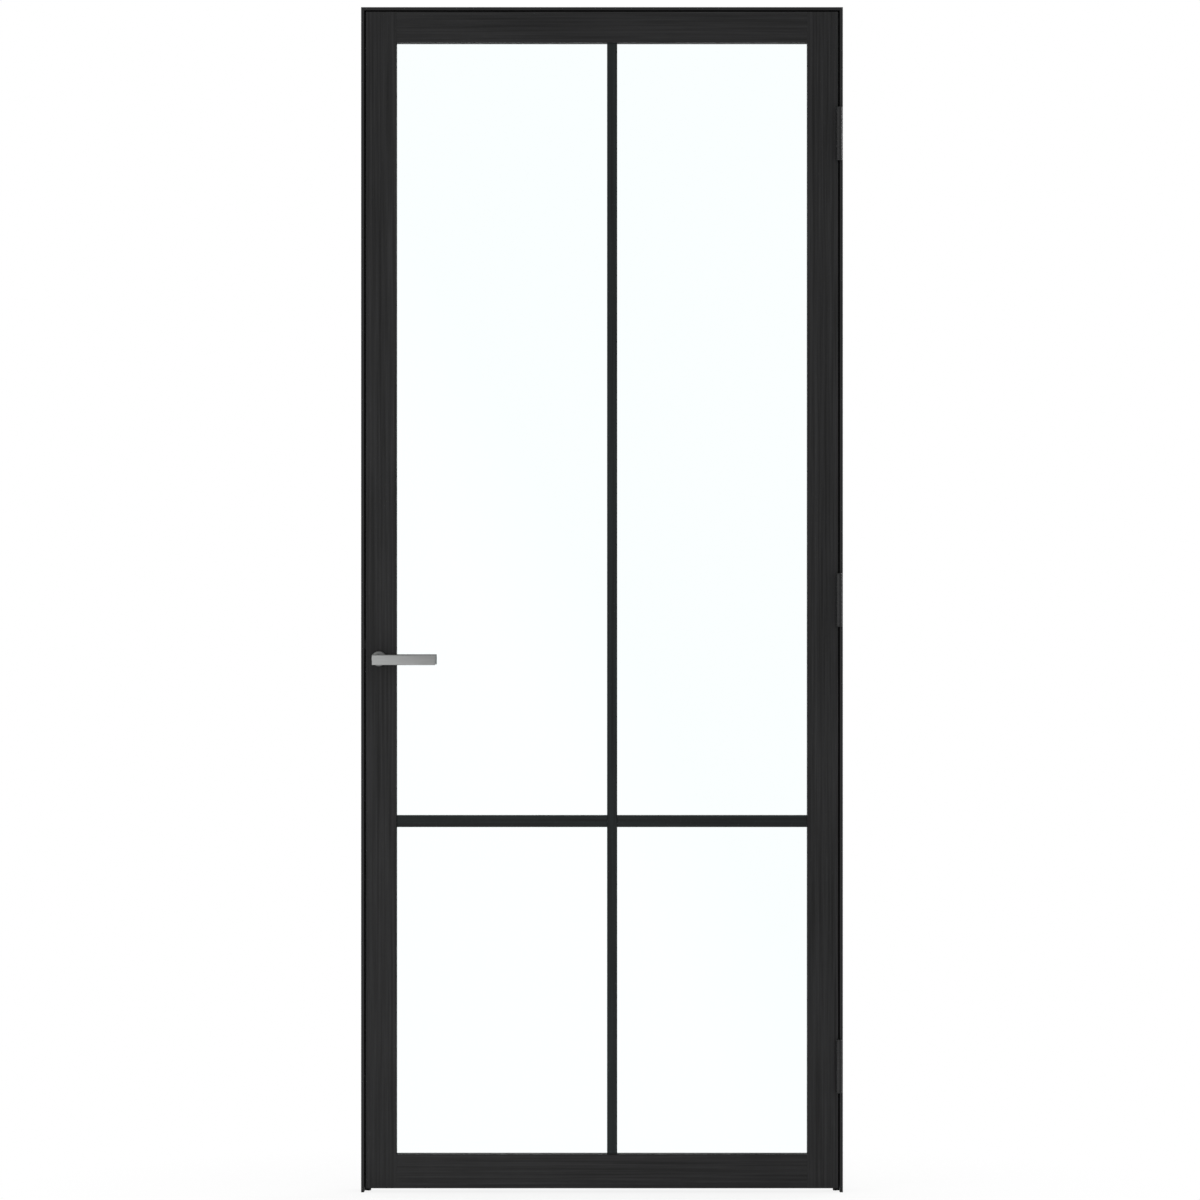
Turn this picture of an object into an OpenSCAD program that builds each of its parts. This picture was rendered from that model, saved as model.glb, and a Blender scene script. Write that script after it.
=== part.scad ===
// Interior door: a black timber leaf with one glass pane and bonded glazing bars, hung in a slim steel frame.
// Millimetres, +Z up, floor at Z = 0. The photographed face looks towards -Y and the lock edge is at -X.

/* [Leaf] */
// Width of the leaf
leaf_w = 930; // [880:1:1000]
// Height of the leaf
leaf_h = 2315; // [2115:1:2400]
// Thickness of the leaf
leaf_t = 40; // [38:0.5:44]
// Width of each stile as it shows in front
stile_w = 61; // [59:0.5:75]
// Height of the top rail
top_rail_h = 61; // [58:0.5:80]
// Height of the bottom rail
bottom_rail_h = 67; // [60:0.5:110]
// Easing of the leaf's visible edges
leaf_ease = 1; // [0.5:0.1:1.5]
// Radius of a corner dowel
dowel_r = 5; // [4:0.5:6]
// Length of a corner dowel
dowel_len = 60; // [50:1:70]

/* [Glazing] */
// Thickness of the glass
glass_t = 5; // [4:0.5:6]
// Depth of the rebate that takes the glass
rebate_w = 12; // [11:0.5:13]
// Space between the glass edge and the rebate
glass_gap = 3; // [2:0.5:4]
// Thickness of the glazing tape
tape_t = 2; // [1.5:0.1:2.5]
// Width of the upright bar
upright_w = 20; // [16:0.5:26]
// Width of the cross bar
cross_w = 23; // [16:0.5:30]
// Depth of a bar from its bonding tape outwards
bar_d = 12.5; // [8:0.5:13]
// Thickness of the tape that bonds a bar
bar_tape_t = 1; // [0.6:0.1:1.5]
// Distance of the upright bar to the right of the middle
upright_shift = 20; // [-60:1:60]
// Height of the cross bar's middle above the leaf's lower edge
cross_h = 722; // [500:1:840]

/* [Frame] */
// Thickness of the jambs and the head
jamb_t = 6; // [6:0.5:10]
// Depth of the frame through the wall
frame_d = 80; // [78:1:130]
// Gap between the leaf and the frame
edge_gap = 3; // [2.5:0.1:3.5]
// Gap between the leaf and the floor
floor_gap = 8; // [4:1:20]
// Width of the stop bar
stop_w = 12; // [11:0.5:12]
// Depth of the stop bar
stop_d = 14; // [10:0.5:15]
// Depth of the seal's seat between the leaf and the stop bar
seal_t = 4; // [3.5:0.1:5]
// Height of the lowest wall fixing
fixing_z = 251; // [200:1:300]
// Radius of a wall fixing hole
fixing_r = 3.5; // [3:0.1:4]

/* [Hinges] */
// Distance of the outer hinges' middle from the leaf's ends
hinge_inset = 240; // [180:1:300]
// Height of a hinge
hinge_len = 100; // [90:1:120]
// Radius of a hinge knuckle
knuckle_r = 6; // [5.5:0.1:6.2]
// Radius of the hinge pin
pin_r = 3.5; // [3:0.1:4]
// Thickness of a hinge plate
plate_t = 2.5; // [2.2:0.1:3]
// Width of a hinge plate on the leaf's edge
plate_w = 32; // [30:0.5:34]
// Height of a bearing ring
bearing_t = 1.5; // [1:0.1:2]

/* [Lock] */
// Distance of the lever's axis from the leaf's edge
backset = 26; // [25.5:0.1:27]
// Height of the lever's axis above the leaf's lower edge
lever_h = 1042; // [950:1:1100]
// Turn of the lever
lever_turn = 40; // [36:1:44]
// Travel of the latch bolt
latch_throw = 8.5; // [7:0.1:8.5]
// Width of the latch head
latch_w = 12; // [10:0.5:12]
// Height of the latch head
latch_h = 18; // [14:0.5:18]
// Side of the square spindle
spindle_s = 8; // [7:0.5:8]

/* [Lever] */
// Length of the grip
grip_len = 124; // [110:1:140]
// Height of the grip
grip_h = 20.5; // [20:0.5:24]
// Thickness of the grip
grip_t = 14; // [12:0.5:16]
// Drop of the grip's middle below the lever's axis
grip_drop = 2; // [0:0.5:2]
// Rounding of the grip's long edges
grip_round = 2.5; // [1:0.1:4]
// Rounding of the grip's ends
grip_end_round = 1.2; // [0.8:0.1:4]
// Radius of the lever's neck
neck_r = 8; // [7.5:0.5:8]
// Distance of the lever's outer face from the leaf
lever_reach = 55; // [50:0.5:65]
// Radius of the rose
rose_r = 15; // [15:0.1:15.5]
// Height of the rose
rose_t = 8; // [7.5:0.5:10]

/* [Hidden] */
$fn = 48;

// Clearances: fixed pieces in their seats, turning pieces, sliding pieces
fit = 0.05;
run_clear = 0.06;
slide_clear = 0.15;
clear = 0.3;
eps = 1;

// Leaf and frame planes
lx = leaf_w / 2;
ly = leaf_t / 2;
z0 = floor_gap;
z1 = z0 + leaf_h;
jx = lx + edge_gap;
ox = jx + jamb_t;
head_z = z1 + edge_gap;
top_z = head_z + jamb_t;
back_y = frame_d - ly;
stop_x = jx - stop_w;
stop_y = ly + seal_t;

// Glazing planes
ix = lx - stile_w;
iz0 = z0 + bottom_rail_h;
iz1 = z1 - top_rail_h;
rx = ix + rebate_w;
rz0 = iz0 - rebate_w;
rz1 = iz1 + rebate_w;
gx = rx - glass_gap;
gz0 = rz0 + glass_gap;
gz1 = rz1 - glass_gap;
gy = glass_t / 2;
lip_y = gy + tape_t;
bar_y = gy + bar_tape_t;
cross_z = z0 + cross_h;
tape_inset = 2;
block_len = 80;
block_drop = 260;
bead_ease = 2;

// Seal section
seal_w = 8;
seal_base = 1.4;
seal_x = stop_x + 0.5 + seal_w / 2;
bulb_r = (seal_t - clear) / 2;
bulb_bore = 1;

// Wall fixings
fixing_y = back_y - 11;
fixing_step = (top_z - 2 * fixing_z) / 3;
head_fixing_x = 250;
fixing_sink = 0.5;

// Screws: shank radius, head radius, head height
plate_screw = [2, 4.2, 2];
wood_screw_len = 30;
lock_screw = [1.75, 3.5, 1.8];
lock_screw_len = 22;
bush_screw = [1.2, 1.9, 0.8];
bush_screw_len = 14;

// Hinges
pin_x = lx + edge_gap / 2;
pin_y = -ly - knuckle_r - 1;
knuckle_h = hinge_len / 5;
hinge_zs = [z0 + hinge_inset, (z0 + z1) / 2, z1 - hinge_inset];
pin_head_t = 3;
tip_stub = 4;
screw_ys = [-ly + 8, -ly + 24];
screw_zs = [-0.38, -0.13, 0.13, 0.38];

// Lock
sx = -lx + backset;
sz = z0 + lever_h;
latch_z = sz + 28;
half_turn = lever_turn / 2;
arm_r = latch_throw / (2 * sin(half_turn));
arm_tip_r = 2.5;
arm_web = 3;
hub_r = 9;
journal_r = 6.8;
case_t = 16;
case_wall = 1.5;
case_d = 37;
case_low = 12;
case_high = 40;
face_t = 3;
face_w = 20;
face_len = 134;
face_z = sz + (case_high - case_low) / 2;
face_screw = 56;
case_x = -lx + face_t;
head_back = 10;
rod_r = 3;
guide_x = -lx + 22;
guide_h = 18;
leg_x = sx - arm_r * sin(half_turn) + arm_tip_r + clear;
leg_t = 4;
leg_low = sz + hub_r + 0.5;
spring_wire = 0.3;
spring_r = 4.4;
spring_turns = 4;
strike_t = 1.5;
strike_len = 76;
strike_screw = 28;
slot_play = 1;

// Lever
bush_r = rose_r - 1.7;
bush_t = 5.5;
rose_wall = 1.6;
grip_back = 12;
neck_gap = 0.5;
spindle_in = 38;
grub_r = 2.5;
grub_at = 14;
bush_screw_r = (neck_r + bush_r) / 2;

steel_black = [0.05, 0.05, 0.055];
leaf_black = [0.15, 0.15, 0.155];
stainless = [0.62, 0.62, 0.61];
zinc = [0.68, 0.69, 0.70];
rubber_black = [0.03, 0.03, 0.03];
glass_clear = [0.86, 0.95, 0.95, 0.35];

// Rectangle with round corners, centred
module round_rect(w, h, r) {
    square([w - 2 * r, h], center = true);
    square([w, h - 2 * r], center = true);
    for (a = [-1, 1], b = [-1, 1])
        translate([a * (w / 2 - r), b * (h / 2 - r)]) circle(r);
}

// Outline in (Y, Z) drawn out along +X
module along_x(len) {
    rotate([90, 0, 90]) linear_extrude(len) children();
}

// Outline in (X, Z) drawn out from y_low to y_high
module along_y(y_low, y_high) {
    translate([0, y_high, 0]) rotate([90, 0, 0]) linear_extrude(y_high - y_low) children();
}

// Square bar on edge that takes the sharp corner off an edge along Z
module ease_z(len, e) {
    rotate([0, 0, 45]) translate([0, 0, len / 2]) cube([e * sqrt(2), e * sqrt(2), len], center = true);
}

// Countersunk screw, head's top at Z = 0, point downwards
module screw(size, len) {
    difference() {
        rotate_extrude() polygon([
            [0, -len],
            [size[0], -len],
            [size[0], -size[2]],
            [size[1], 0],
            [0, 0]
        ]);
        translate([0, 0, -size[2] * 0.6]) cylinder(h = size[2], r = size[0] * 0.7, $fn = 6);
    }
}

// Hole for such a screw
module screw_hole(size, len) {
    rotate_extrude() polygon([
        [0, -len],
        [size[0] + fit, -len],
        [size[0] + fit, -size[2] - fit],
        [size[1] + fit, -fit],
        [size[1] + fit, eps],
        [0, eps]
    ]);
}

// Places for the four screws of one hinge plate
module at_hinge_screws(zc) {
    for (i = [0:3])
        translate([0, screw_ys[i % 2], zc + screw_zs[i] * hinge_len]) children();
}

// Straight wall bar with its row of countersunk wall fixings, drawn for the right-hand side
module jamb_bar() {
    difference() {
        translate([jx, -ly, 0]) cube([jamb_t, frame_d, top_z]);
        for (i = [0:3])
            translate([jx, fixing_y, fixing_z + i * fixing_step]) rotate([0, -90, 0]) fixing_hole();
    }
}

module fixing_hole() {
    rotate_extrude() polygon([
        [0, -jamb_t - eps],
        [fixing_r, -jamb_t - eps],
        [fixing_r, -fixing_r + fixing_sink],
        [2 * fixing_r, fixing_sink],
        [0, fixing_sink]
    ]);
}

// Hinge plates of the jamb as pockets
module frame_plate_pocket(zc) {
    translate([jx - eps, -ly - eps, zc - hinge_len / 2 - fit])
        cube([plate_t + eps, plate_w + eps + fit, hinge_len + 2 * fit]);
    at_hinge_screws(zc)
        translate([jx - eps, 0, 0]) rotate([0, 90, 0]) cylinder(h = jamb_t + 2 * eps, r = plate_screw[0] + fit);
}

module frame_hinge_jamb() {
    color(steel_black) difference() {
        jamb_bar();
        for (zc = hinge_zs) frame_plate_pocket(zc);
    }
}

module frame_lock_jamb() {
    color(steel_black) difference() {
        mirror([1, 0, 0]) jamb_bar();
        translate([-jx - strike_t, -ly - eps, latch_z - strike_len / 2 - fit])
            cube([strike_t + eps, ly + face_w / 2 + eps + fit, strike_len + 2 * fit]);
        translate([-ox - eps, -latch_w / 2 - slot_play, latch_z - latch_h / 2 - slot_play])
            cube([jamb_t + 2 * eps, latch_w + 2 * slot_play, latch_h + 2 * slot_play]);
        at_strike_screws() screw_hole(lock_screw, jamb_t + eps);
    }
}

module frame_head() {
    color(steel_black) difference() {
        translate([-jx, -ly, head_z]) cube([2 * jx, frame_d, jamb_t]);
        for (s = [-1, 1])
            translate([s * head_fixing_x, fixing_y, head_z]) rotate([180, 0, 0]) fixing_hole();
    }
}

module stop_hinge_side() {
    color(steel_black) translate([stop_x, stop_y, 0]) cube([stop_w, stop_d, head_z]);
}

module stop_lock_side() {
    color(steel_black) mirror([1, 0, 0]) translate([stop_x, stop_y, 0]) cube([stop_w, stop_d, head_z]);
}

module stop_head() {
    color(steel_black) translate([-stop_x, stop_y, head_z - stop_w]) cube([2 * stop_x, stop_d, stop_w]);
}

// Seal section: a flat foot on the stop bar and a hollow bulb towards the leaf
module seal_section() {
    difference() {
        union() {
            translate([-seal_w / 2, seal_t - seal_base]) square([seal_w, seal_base]);
            translate([0, clear + bulb_r]) circle(bulb_r);
        }
        translate([0, clear + bulb_r]) circle(bulb_bore);
    }
}

module seal_hinge_side() {
    color(rubber_black) translate([seal_x, ly, 0]) linear_extrude(head_z) seal_section();
}

module seal_lock_side() {
    color(rubber_black) translate([-seal_x, ly, 0]) linear_extrude(head_z) seal_section();
}

module seal_head() {
    color(rubber_black) translate([-stop_x, ly, head_z - stop_w + 0.5 + seal_w / 2])
        along_x(2 * stop_x) rotate(-90) seal_section();
}

module strike_plate() {
    color(steel_black) difference() {
        translate([-jx - strike_t, -ly, latch_z - strike_len / 2])
            cube([strike_t, ly + face_w / 2, strike_len]);
        translate([-jx - strike_t - eps, -latch_w / 2 - slot_play, latch_z - latch_h / 2 - slot_play])
            cube([strike_t + 2 * eps, latch_w + 2 * slot_play, latch_h + 2 * slot_play]);
        at_strike_screws() screw_hole(lock_screw, jamb_t);
    }
}

module at_strike_screws() {
    for (s = [-1, 1])
        translate([-jx, 0, latch_z + s * strike_screw]) rotate([0, 90, 0]) children();
}

module strike_screws() {
    color(steel_black) at_strike_screws() screw(lock_screw, jamb_t - clear);
}

// One hinge half: side +1 is the jamb's, with the outer and middle knuckles, and side -1 the leaf's
module hinge_half(zc, side) {
    own = side > 0 ? [0, 2, 4] : [1, 3];
    low = side > 0 ? 0 : bearing_t + clear;
    high = side > 0 ? 0 : clear;
    plate_x = side > 0 ? jx : lx - plate_t;
    bore = side > 0 ? fit : run_clear;
    translate([0, 0, zc - hinge_len / 2]) difference() {
        union() {
            translate([plate_x, -ly, 0]) cube([plate_t, plate_w, hinge_len]);
            for (k = own) {
                translate([plate_x, pin_y, k * knuckle_h + low])
                    cube([plate_t, -ly - pin_y + eps, knuckle_h - low - high]);
                translate([pin_x, pin_y, k * knuckle_h + low]) cylinder(h = knuckle_h - low - high, r = knuckle_r);
            }
        }
        translate([pin_x, pin_y, -eps]) cylinder(h = hinge_len + 2 * eps, r = pin_r + bore);
        at_hinge_screws(hinge_len / 2)
            translate([side > 0 ? jx : lx, 0, 0]) rotate([0, -90 * side, 0]) screw_hole(plate_screw, plate_t + eps);
    }
}

module hinge_top_frame_plate() {
    color(steel_black) hinge_half(hinge_zs[2], 1);
}

module hinge_middle_frame_plate() {
    color(steel_black) hinge_half(hinge_zs[1], 1);
}

module hinge_bottom_frame_plate() {
    color(steel_black) hinge_half(hinge_zs[0], 1);
}

module hinge_top_leaf_plate() {
    color(steel_black) hinge_half(hinge_zs[2], -1);
}

module hinge_middle_leaf_plate() {
    color(steel_black) hinge_half(hinge_zs[1], -1);
}

module hinge_bottom_leaf_plate() {
    color(steel_black) hinge_half(hinge_zs[0], -1);
}

// Flat button with an eased rim, standing on Z = 0
module pin_button() {
    rotate_extrude() polygon([
        [0, 0],
        [knuckle_r, 0],
        [knuckle_r, pin_head_t - 1],
        [knuckle_r - 1.5, pin_head_t],
        [0, pin_head_t]
    ]);
}

module hinge_pin(zc) {
    translate([pin_x, pin_y, zc]) {
        translate([0, 0, -hinge_len / 2 + tip_stub]) cylinder(h = hinge_len - tip_stub + eps, r = pin_r);
        translate([0, 0, hinge_len / 2]) pin_button();
    }
}

module hinge_top_pin() {
    color(steel_black) hinge_pin(hinge_zs[2]);
}

module hinge_middle_pin() {
    color(steel_black) hinge_pin(hinge_zs[1]);
}

module hinge_bottom_pin() {
    color(steel_black) hinge_pin(hinge_zs[0]);
}

module hinge_tips() {
    color(steel_black) for (zc = hinge_zs)
        translate([pin_x, pin_y, zc - hinge_len / 2]) {
            mirror([0, 0, 1]) pin_button();
            translate([0, 0, -eps]) cylinder(h = tip_stub - clear + eps, r = pin_r);
        }
}

module hinge_bearings() {
    color(steel_black) for (zc = hinge_zs, k = [1, 3])
        translate([pin_x, pin_y, zc - hinge_len / 2 + k * knuckle_h]) difference() {
            cylinder(h = bearing_t, r = knuckle_r - 0.4);
            translate([0, 0, -eps]) cylinder(h = bearing_t + 2 * eps, r = pin_r + fit);
        }
}

module hinge_frame_screws() {
    color(steel_black) for (zc = hinge_zs)
        at_hinge_screws(zc) translate([jx, 0, 0]) rotate([0, -90, 0]) screw(plate_screw, jamb_t - clear);
}

module hinge_leaf_screws() {
    color(steel_black) for (zc = hinge_zs)
        at_hinge_screws(zc) translate([lx, 0, 0]) rotate([0, 90, 0]) screw(plate_screw, wood_screw_len);
}

// Heights of the dowels in the lower and the upper corner joints
dowel_zs = [
    z0 + 14,
    rz0 - 14,
    rz1 + 12,
    z1 - 12
];

module dowel_holes(side) {
    for (z = dowel_zs)
        translate([side * ix, 0, z]) rotate([0, 90, 0])
            cylinder(h = dowel_len + 2 * clear, r = dowel_r + fit, center = true);
}

// Stile on the right-hand side: lip in front, rebate behind, eased edges
module stile_bar() {
    difference() {
        translate([ix, -ly, z0]) cube([stile_w, leaf_t, leaf_h]);
        translate([ix - eps, -lip_y, rz0]) cube([rebate_w + eps, leaf_t, rz1 - rz0]);
        for (s = [-1, 1])
            translate([lx, s * ly, z0 - eps]) ease_z(leaf_h + 2 * eps, leaf_ease);
        translate([ix, -ly, iz0]) ease_z(iz1 - iz0, leaf_ease);
        dowel_holes(1);
    }
}

module hinge_stile() {
    color(leaf_black) difference() {
        stile_bar();
        for (zc = hinge_zs) {
            translate([lx - plate_t, -ly - eps, zc - hinge_len / 2 - fit])
                cube([plate_t + eps, plate_w + eps + fit, hinge_len + 2 * fit]);
            at_hinge_screws(zc) translate([lx + eps, 0, 0]) rotate([0, -90, 0])
                cylinder(h = wood_screw_len + eps + clear, r = plate_screw[0] + fit);
        }
    }
}

// Face plate outline in (Y, Z), widened by grow
module face_outline(grow) {
    round_rect(face_w + 2 * grow, face_len + 2 * grow, 4);
}

module at_face_screws() {
    for (s = [-1, 1])
        translate([-lx, 0, face_z + s * face_screw]) rotate([0, -90, 0]) children();
}

module at_bush_screws() {
    for (s = [-1, 1])
        translate([sx, -ly - bush_t, sz + s * bush_screw_r]) rotate([90, 0, 0]) children();
}

module lock_stile() {
    color(leaf_black) difference() {
        mirror([1, 0, 0]) stile_bar();
        translate([-lx - eps, 0, face_z]) along_x(face_t + eps) face_outline(fit);
        translate([-lx - eps, -case_t / 2 - fit, sz - case_low - fit])
            cube([face_t + case_d + eps + fit, case_t + 2 * fit, case_low + case_high + 2 * fit]);
        translate([sx, 0, sz]) rotate([90, 0, 0]) cylinder(h = leaf_t + 2 * eps, r = journal_r + 0.7, center = true);
        at_face_screws() translate([0, 0, -lock_screw_len - clear])
            cylinder(h = lock_screw_len + clear, r = lock_screw[0] + fit);
        for (m = [0, 1]) mirror([0, m, 0])
            at_bush_screws() translate([0, 0, -bush_screw_len - clear])
                cylinder(h = bush_screw_len, r = bush_screw[0] + fit);
    }
}

// Rail between the stiles with its rebate on the glass side
module rail_bar(low, high, rebate_low, lip_edge) {
    difference() {
        translate([-ix, -ly, low]) cube([2 * ix, leaf_t, high - low]);
        translate([-ix - eps, -lip_y, rebate_low]) cube([2 * ix + 2 * eps, leaf_t, rebate_w + eps]);
        translate([-ix, -ly, lip_edge]) rotate([0, 90, 0]) ease_z(2 * ix, leaf_ease);
        for (s = [-1, 1]) dowel_holes(s);
    }
}

module top_rail() {
    color(leaf_black) rail_bar(iz1, z1, iz1 - eps, iz1);
}

module bottom_rail() {
    color(leaf_black) rail_bar(z0, iz0, rz0, iz0);
}

module corner_dowels() {
    color([0.75, 0.6, 0.4]) for (s = [-1, 1], z = dowel_zs)
        translate([s * ix, 0, z]) rotate([0, 90, 0]) cylinder(h = dowel_len, r = dowel_r, center = true);
}

module glass_pane() {
    color(glass_clear) translate([-gx, -gy, gz0]) cube([2 * gx, glass_t, gz1 - gz0]);
}

// Frame of tape between the glass and the timber, on the +Y side
module tape_ring() {
    difference() {
        translate([-gx, gy, gz0]) cube([2 * gx, tape_t, gz1 - gz0]);
        translate([-ix - 1, gy - eps, iz0 - 1]) cube([2 * ix + 2, tape_t + 2 * eps, iz1 - iz0 + 2]);
    }
}

module glazing_tape_front() {
    color(rubber_black) mirror([0, 1, 0]) tape_ring();
}

module glazing_tape_back() {
    color(rubber_black) tape_ring();
}

module setting_blocks() {
    color([0.1, 0.1, 0.11]) {
        for (s = [-1, 1]) {
            translate([s * ix * 0.62 - block_len / 2, -lip_y, rz0]) cube([block_len, 2 * lip_y, glass_gap]);
            translate([s > 0 ? gx : -rx, -lip_y, iz1 - block_drop]) cube([glass_gap, 2 * lip_y, block_len]);
        }
    }
}

// Upright bead on the right-hand side, cut to a mitre at both ends
module bead_side() {
    intersection() {
        along_y(lip_y, ly) polygon([[ix, iz0], [rx, rz0], [rx, rz1], [ix, iz1]]);
        translate([0, 0, rz0]) linear_extrude(rz1 - rz0)
            polygon([[ix, lip_y], [rx, lip_y], [rx, ly], [ix + bead_ease, ly], [ix, ly - bead_ease]]);
    }
}

// Level bead from its rebate corner to its inner edge
module bead_level(outer, inner) {
    turn = inner > outer ? bead_ease : -bead_ease;
    intersection() {
        along_y(lip_y, ly) polygon([[-rx, outer], [rx, outer], [ix, inner], [-ix, inner]]);
        translate([-rx, 0, 0]) along_x(2 * rx)
            polygon([[lip_y, outer], [ly, outer], [ly, inner - turn], [ly - bead_ease, inner], [lip_y, inner]]);
    }
}

module glazing_bead_left() {
    color(leaf_black) mirror([1, 0, 0]) bead_side();
}

module glazing_bead_right() {
    color(leaf_black) bead_side();
}

module glazing_bead_top() {
    color(leaf_black) bead_level(rz1, iz1);
}

module glazing_bead_bottom() {
    color(leaf_black) bead_level(rz0, iz0);
}

// Bar section, width along the first axis and depth along the second, with eased outer corners
module bar_section(w) {
    polygon([
        [-w / 2, 0],
        [w / 2, 0],
        [w / 2, bar_d - leaf_ease],
        [w / 2 - leaf_ease, bar_d],
        [-w / 2 + leaf_ease, bar_d],
        [-w / 2, bar_d - leaf_ease]
    ]);
}

module bar_upright() {
    translate([upright_shift, bar_y, iz0]) linear_extrude(iz1 - iz0) bar_section(upright_w);
}

// Cross bar between two X positions
module bar_cross(from_x, to_x) {
    translate([from_x, bar_y, cross_z]) along_x(to_x - from_x) rotate(-90) bar_section(cross_w);
}

module bar_left() {
    bar_cross(-ix, upright_shift - upright_w / 2);
}

module bar_right() {
    bar_cross(upright_shift + upright_w / 2, ix);
}

module front_bar_upright() {
    color(leaf_black) mirror([0, 1, 0]) bar_upright();
}

module front_bar_left() {
    color(leaf_black) mirror([0, 1, 0]) bar_left();
}

module front_bar_right() {
    color(leaf_black) mirror([0, 1, 0]) bar_right();
}

module back_bar_upright() {
    color(leaf_black) bar_upright();
}

module back_bar_left() {
    color(leaf_black) bar_left();
}

module back_bar_right() {
    color(leaf_black) bar_right();
}

// Strips of bonding tape behind the bars of both faces
module bar_tape() {
    color(rubber_black) for (m = [0, 1]) mirror([0, m, 0]) {
        translate([upright_shift - upright_w / 2 + tape_inset, gy, iz0 + tape_inset])
            cube([upright_w - 2 * tape_inset, bar_tape_t, iz1 - iz0 - 2 * tape_inset]);
        translate([-ix + tape_inset, gy, cross_z - cross_w / 2 + tape_inset])
            cube([ix + upright_shift - upright_w / 2 - 2 * tape_inset, bar_tape_t, cross_w - 2 * tape_inset]);
        translate([upright_shift + upright_w / 2 + tape_inset, gy, cross_z - cross_w / 2 + tape_inset])
            cube([ix - upright_shift - upright_w / 2 - 2 * tape_inset, bar_tape_t, cross_w - 2 * tape_inset]);
    }
}

// Tray of folded sheet, open towards the cover and the face plate, with the latch's guide
module lock_case() {
    color(zinc) {
        difference() {
            translate([case_x, -case_t / 2 + case_wall, sz - case_low])
                cube([case_d, case_t - case_wall, case_low + case_high]);
            translate([case_x - eps, -case_t / 2, sz - case_low + case_wall])
                cube([case_d - case_wall + eps, case_t - case_wall, case_low + case_high - 2 * case_wall]);
            translate([sx, 0, sz]) rotate([-90, 0, 0]) cylinder(h = case_t, r = journal_r + run_clear);
        }
        difference() {
            translate([guide_x, -case_t / 2 + case_wall, latch_z - guide_h / 2])
                cube([case_wall, case_t - 1.5 * case_wall, guide_h]);
            translate([guide_x - eps, 0, latch_z]) rotate([0, 90, 0])
                cylinder(h = case_wall + 2 * eps, r = rod_r + slide_clear);
        }
    }
}

module lock_cover() {
    color(zinc) difference() {
        translate([case_x, -case_t / 2, sz - case_low]) cube([case_d, case_wall, case_low + case_high]);
        translate([sx, 0, sz]) rotate([90, 0, 0]) cylinder(h = case_t, r = journal_r + run_clear);
    }
}

module lock_face_plate() {
    color(steel_black) difference() {
        translate([-lx, 0, face_z]) along_x(face_t) face_outline(0);
        translate([-lx - eps, -latch_w / 2 - slide_clear, latch_z - latch_h / 2 - slide_clear])
            cube([face_t + 2 * eps, latch_w + 2 * slide_clear, latch_h + 2 * slide_clear]);
        at_face_screws() screw_hole(lock_screw, face_t + eps);
    }
}

module lock_screws() {
    color(steel_black) at_face_screws() screw(lock_screw, lock_screw_len);
}

// Follower: hub with journals, a square hole and an arm that leans half the turn towards the edge at rest
module lock_follower() {
    color(zinc) translate([sx, 0, sz]) difference() {
        union() {
            rotate([90, 0, 0]) linear_extrude(case_t - 2 * case_wall - 2 * clear, center = true) {
                circle(hub_r);
                rotate(half_turn) {
                    translate([-arm_web / 2, 0]) square([arm_web, arm_r]);
                    translate([0, arm_r]) circle(arm_tip_r);
                }
            }
            rotate([90, 0, 0]) cylinder(h = case_t, r = journal_r, center = true);
        }
        cube([spindle_s + 2 * fit, case_t + 2 * eps, spindle_s + 2 * fit], center = true);
    }
}

module spindle() {
    color(zinc) translate([sx, 0, sz]) cube([spindle_s, leaf_t + 2 * spindle_in, spindle_s], center = true);
}

// Latch: bevelled head, round tail, and a leg that the follower's arm draws back
module latch_bolt() {
    color(steel_black) {
        translate([-lx, 0, latch_z - latch_h / 2]) linear_extrude(latch_h) polygon([
            [-latch_throw, -latch_w / 2],
            [-latch_throw, -latch_w / 2 + 3],
            [-0.3, latch_w / 2],
            [head_back, latch_w / 2],
            [head_back, -latch_w / 2]
        ]);
        translate([-lx + head_back - eps, 0, latch_z]) rotate([0, 90, 0])
            cylinder(h = leg_x + lx - head_back + 2 * eps, r = rod_r);
        translate([leg_x, -rod_r, leg_low]) cube([leg_t, 2 * rod_r, latch_z + rod_r + 1 - leg_low]);
    }
}

// Compression spring round the tail, between the head and the guide
spring_len = guide_x + lx - head_back - 2 * slide_clear - 2 * spring_wire;
spring_sides = 6;
spring_rings = 18 * spring_turns;
function coil_turn(t) = t * spring_turns * 360;
function coil_at(i, k) =
    let (t = i / spring_rings, a = coil_turn(t), b = k * 360 / spring_sides, r = spring_r + spring_wire * cos(b))
    [t * spring_len + spring_wire * sin(b), r * cos(a), r * sin(a)];
spring_points = [for (i = [0:spring_rings], k = [0:spring_sides - 1]) coil_at(i, k)];
spring_skin = [
    for (i = [0:spring_rings - 1], k = [0:spring_sides - 1])
        let (n = (k + 1) % spring_sides, a = i * spring_sides)
        [a + k, a + n, a + spring_sides + n, a + spring_sides + k]
];
spring_ends = [
    [for (k = [spring_sides - 1:-1:0]) k],
    [for (k = [0:spring_sides - 1]) spring_rings * spring_sides + k]
];

module latch_spring() {
    color(stainless) translate([-lx + head_back + slide_clear + spring_wire, 0, latch_z])
        polyhedron(points = spring_points, faces = concat(spring_skin, spring_ends), convexity = 6);
}

// Places a piece drawn with +Z out of the leaf on the front face, on the lever's axis
module on_front() {
    translate([sx, -ly, sz]) rotate([90, 0, 0]) children();
}

// The same piece on the back face
module on_back() {
    mirror([0, 1, 0]) on_front() children();
}

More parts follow.
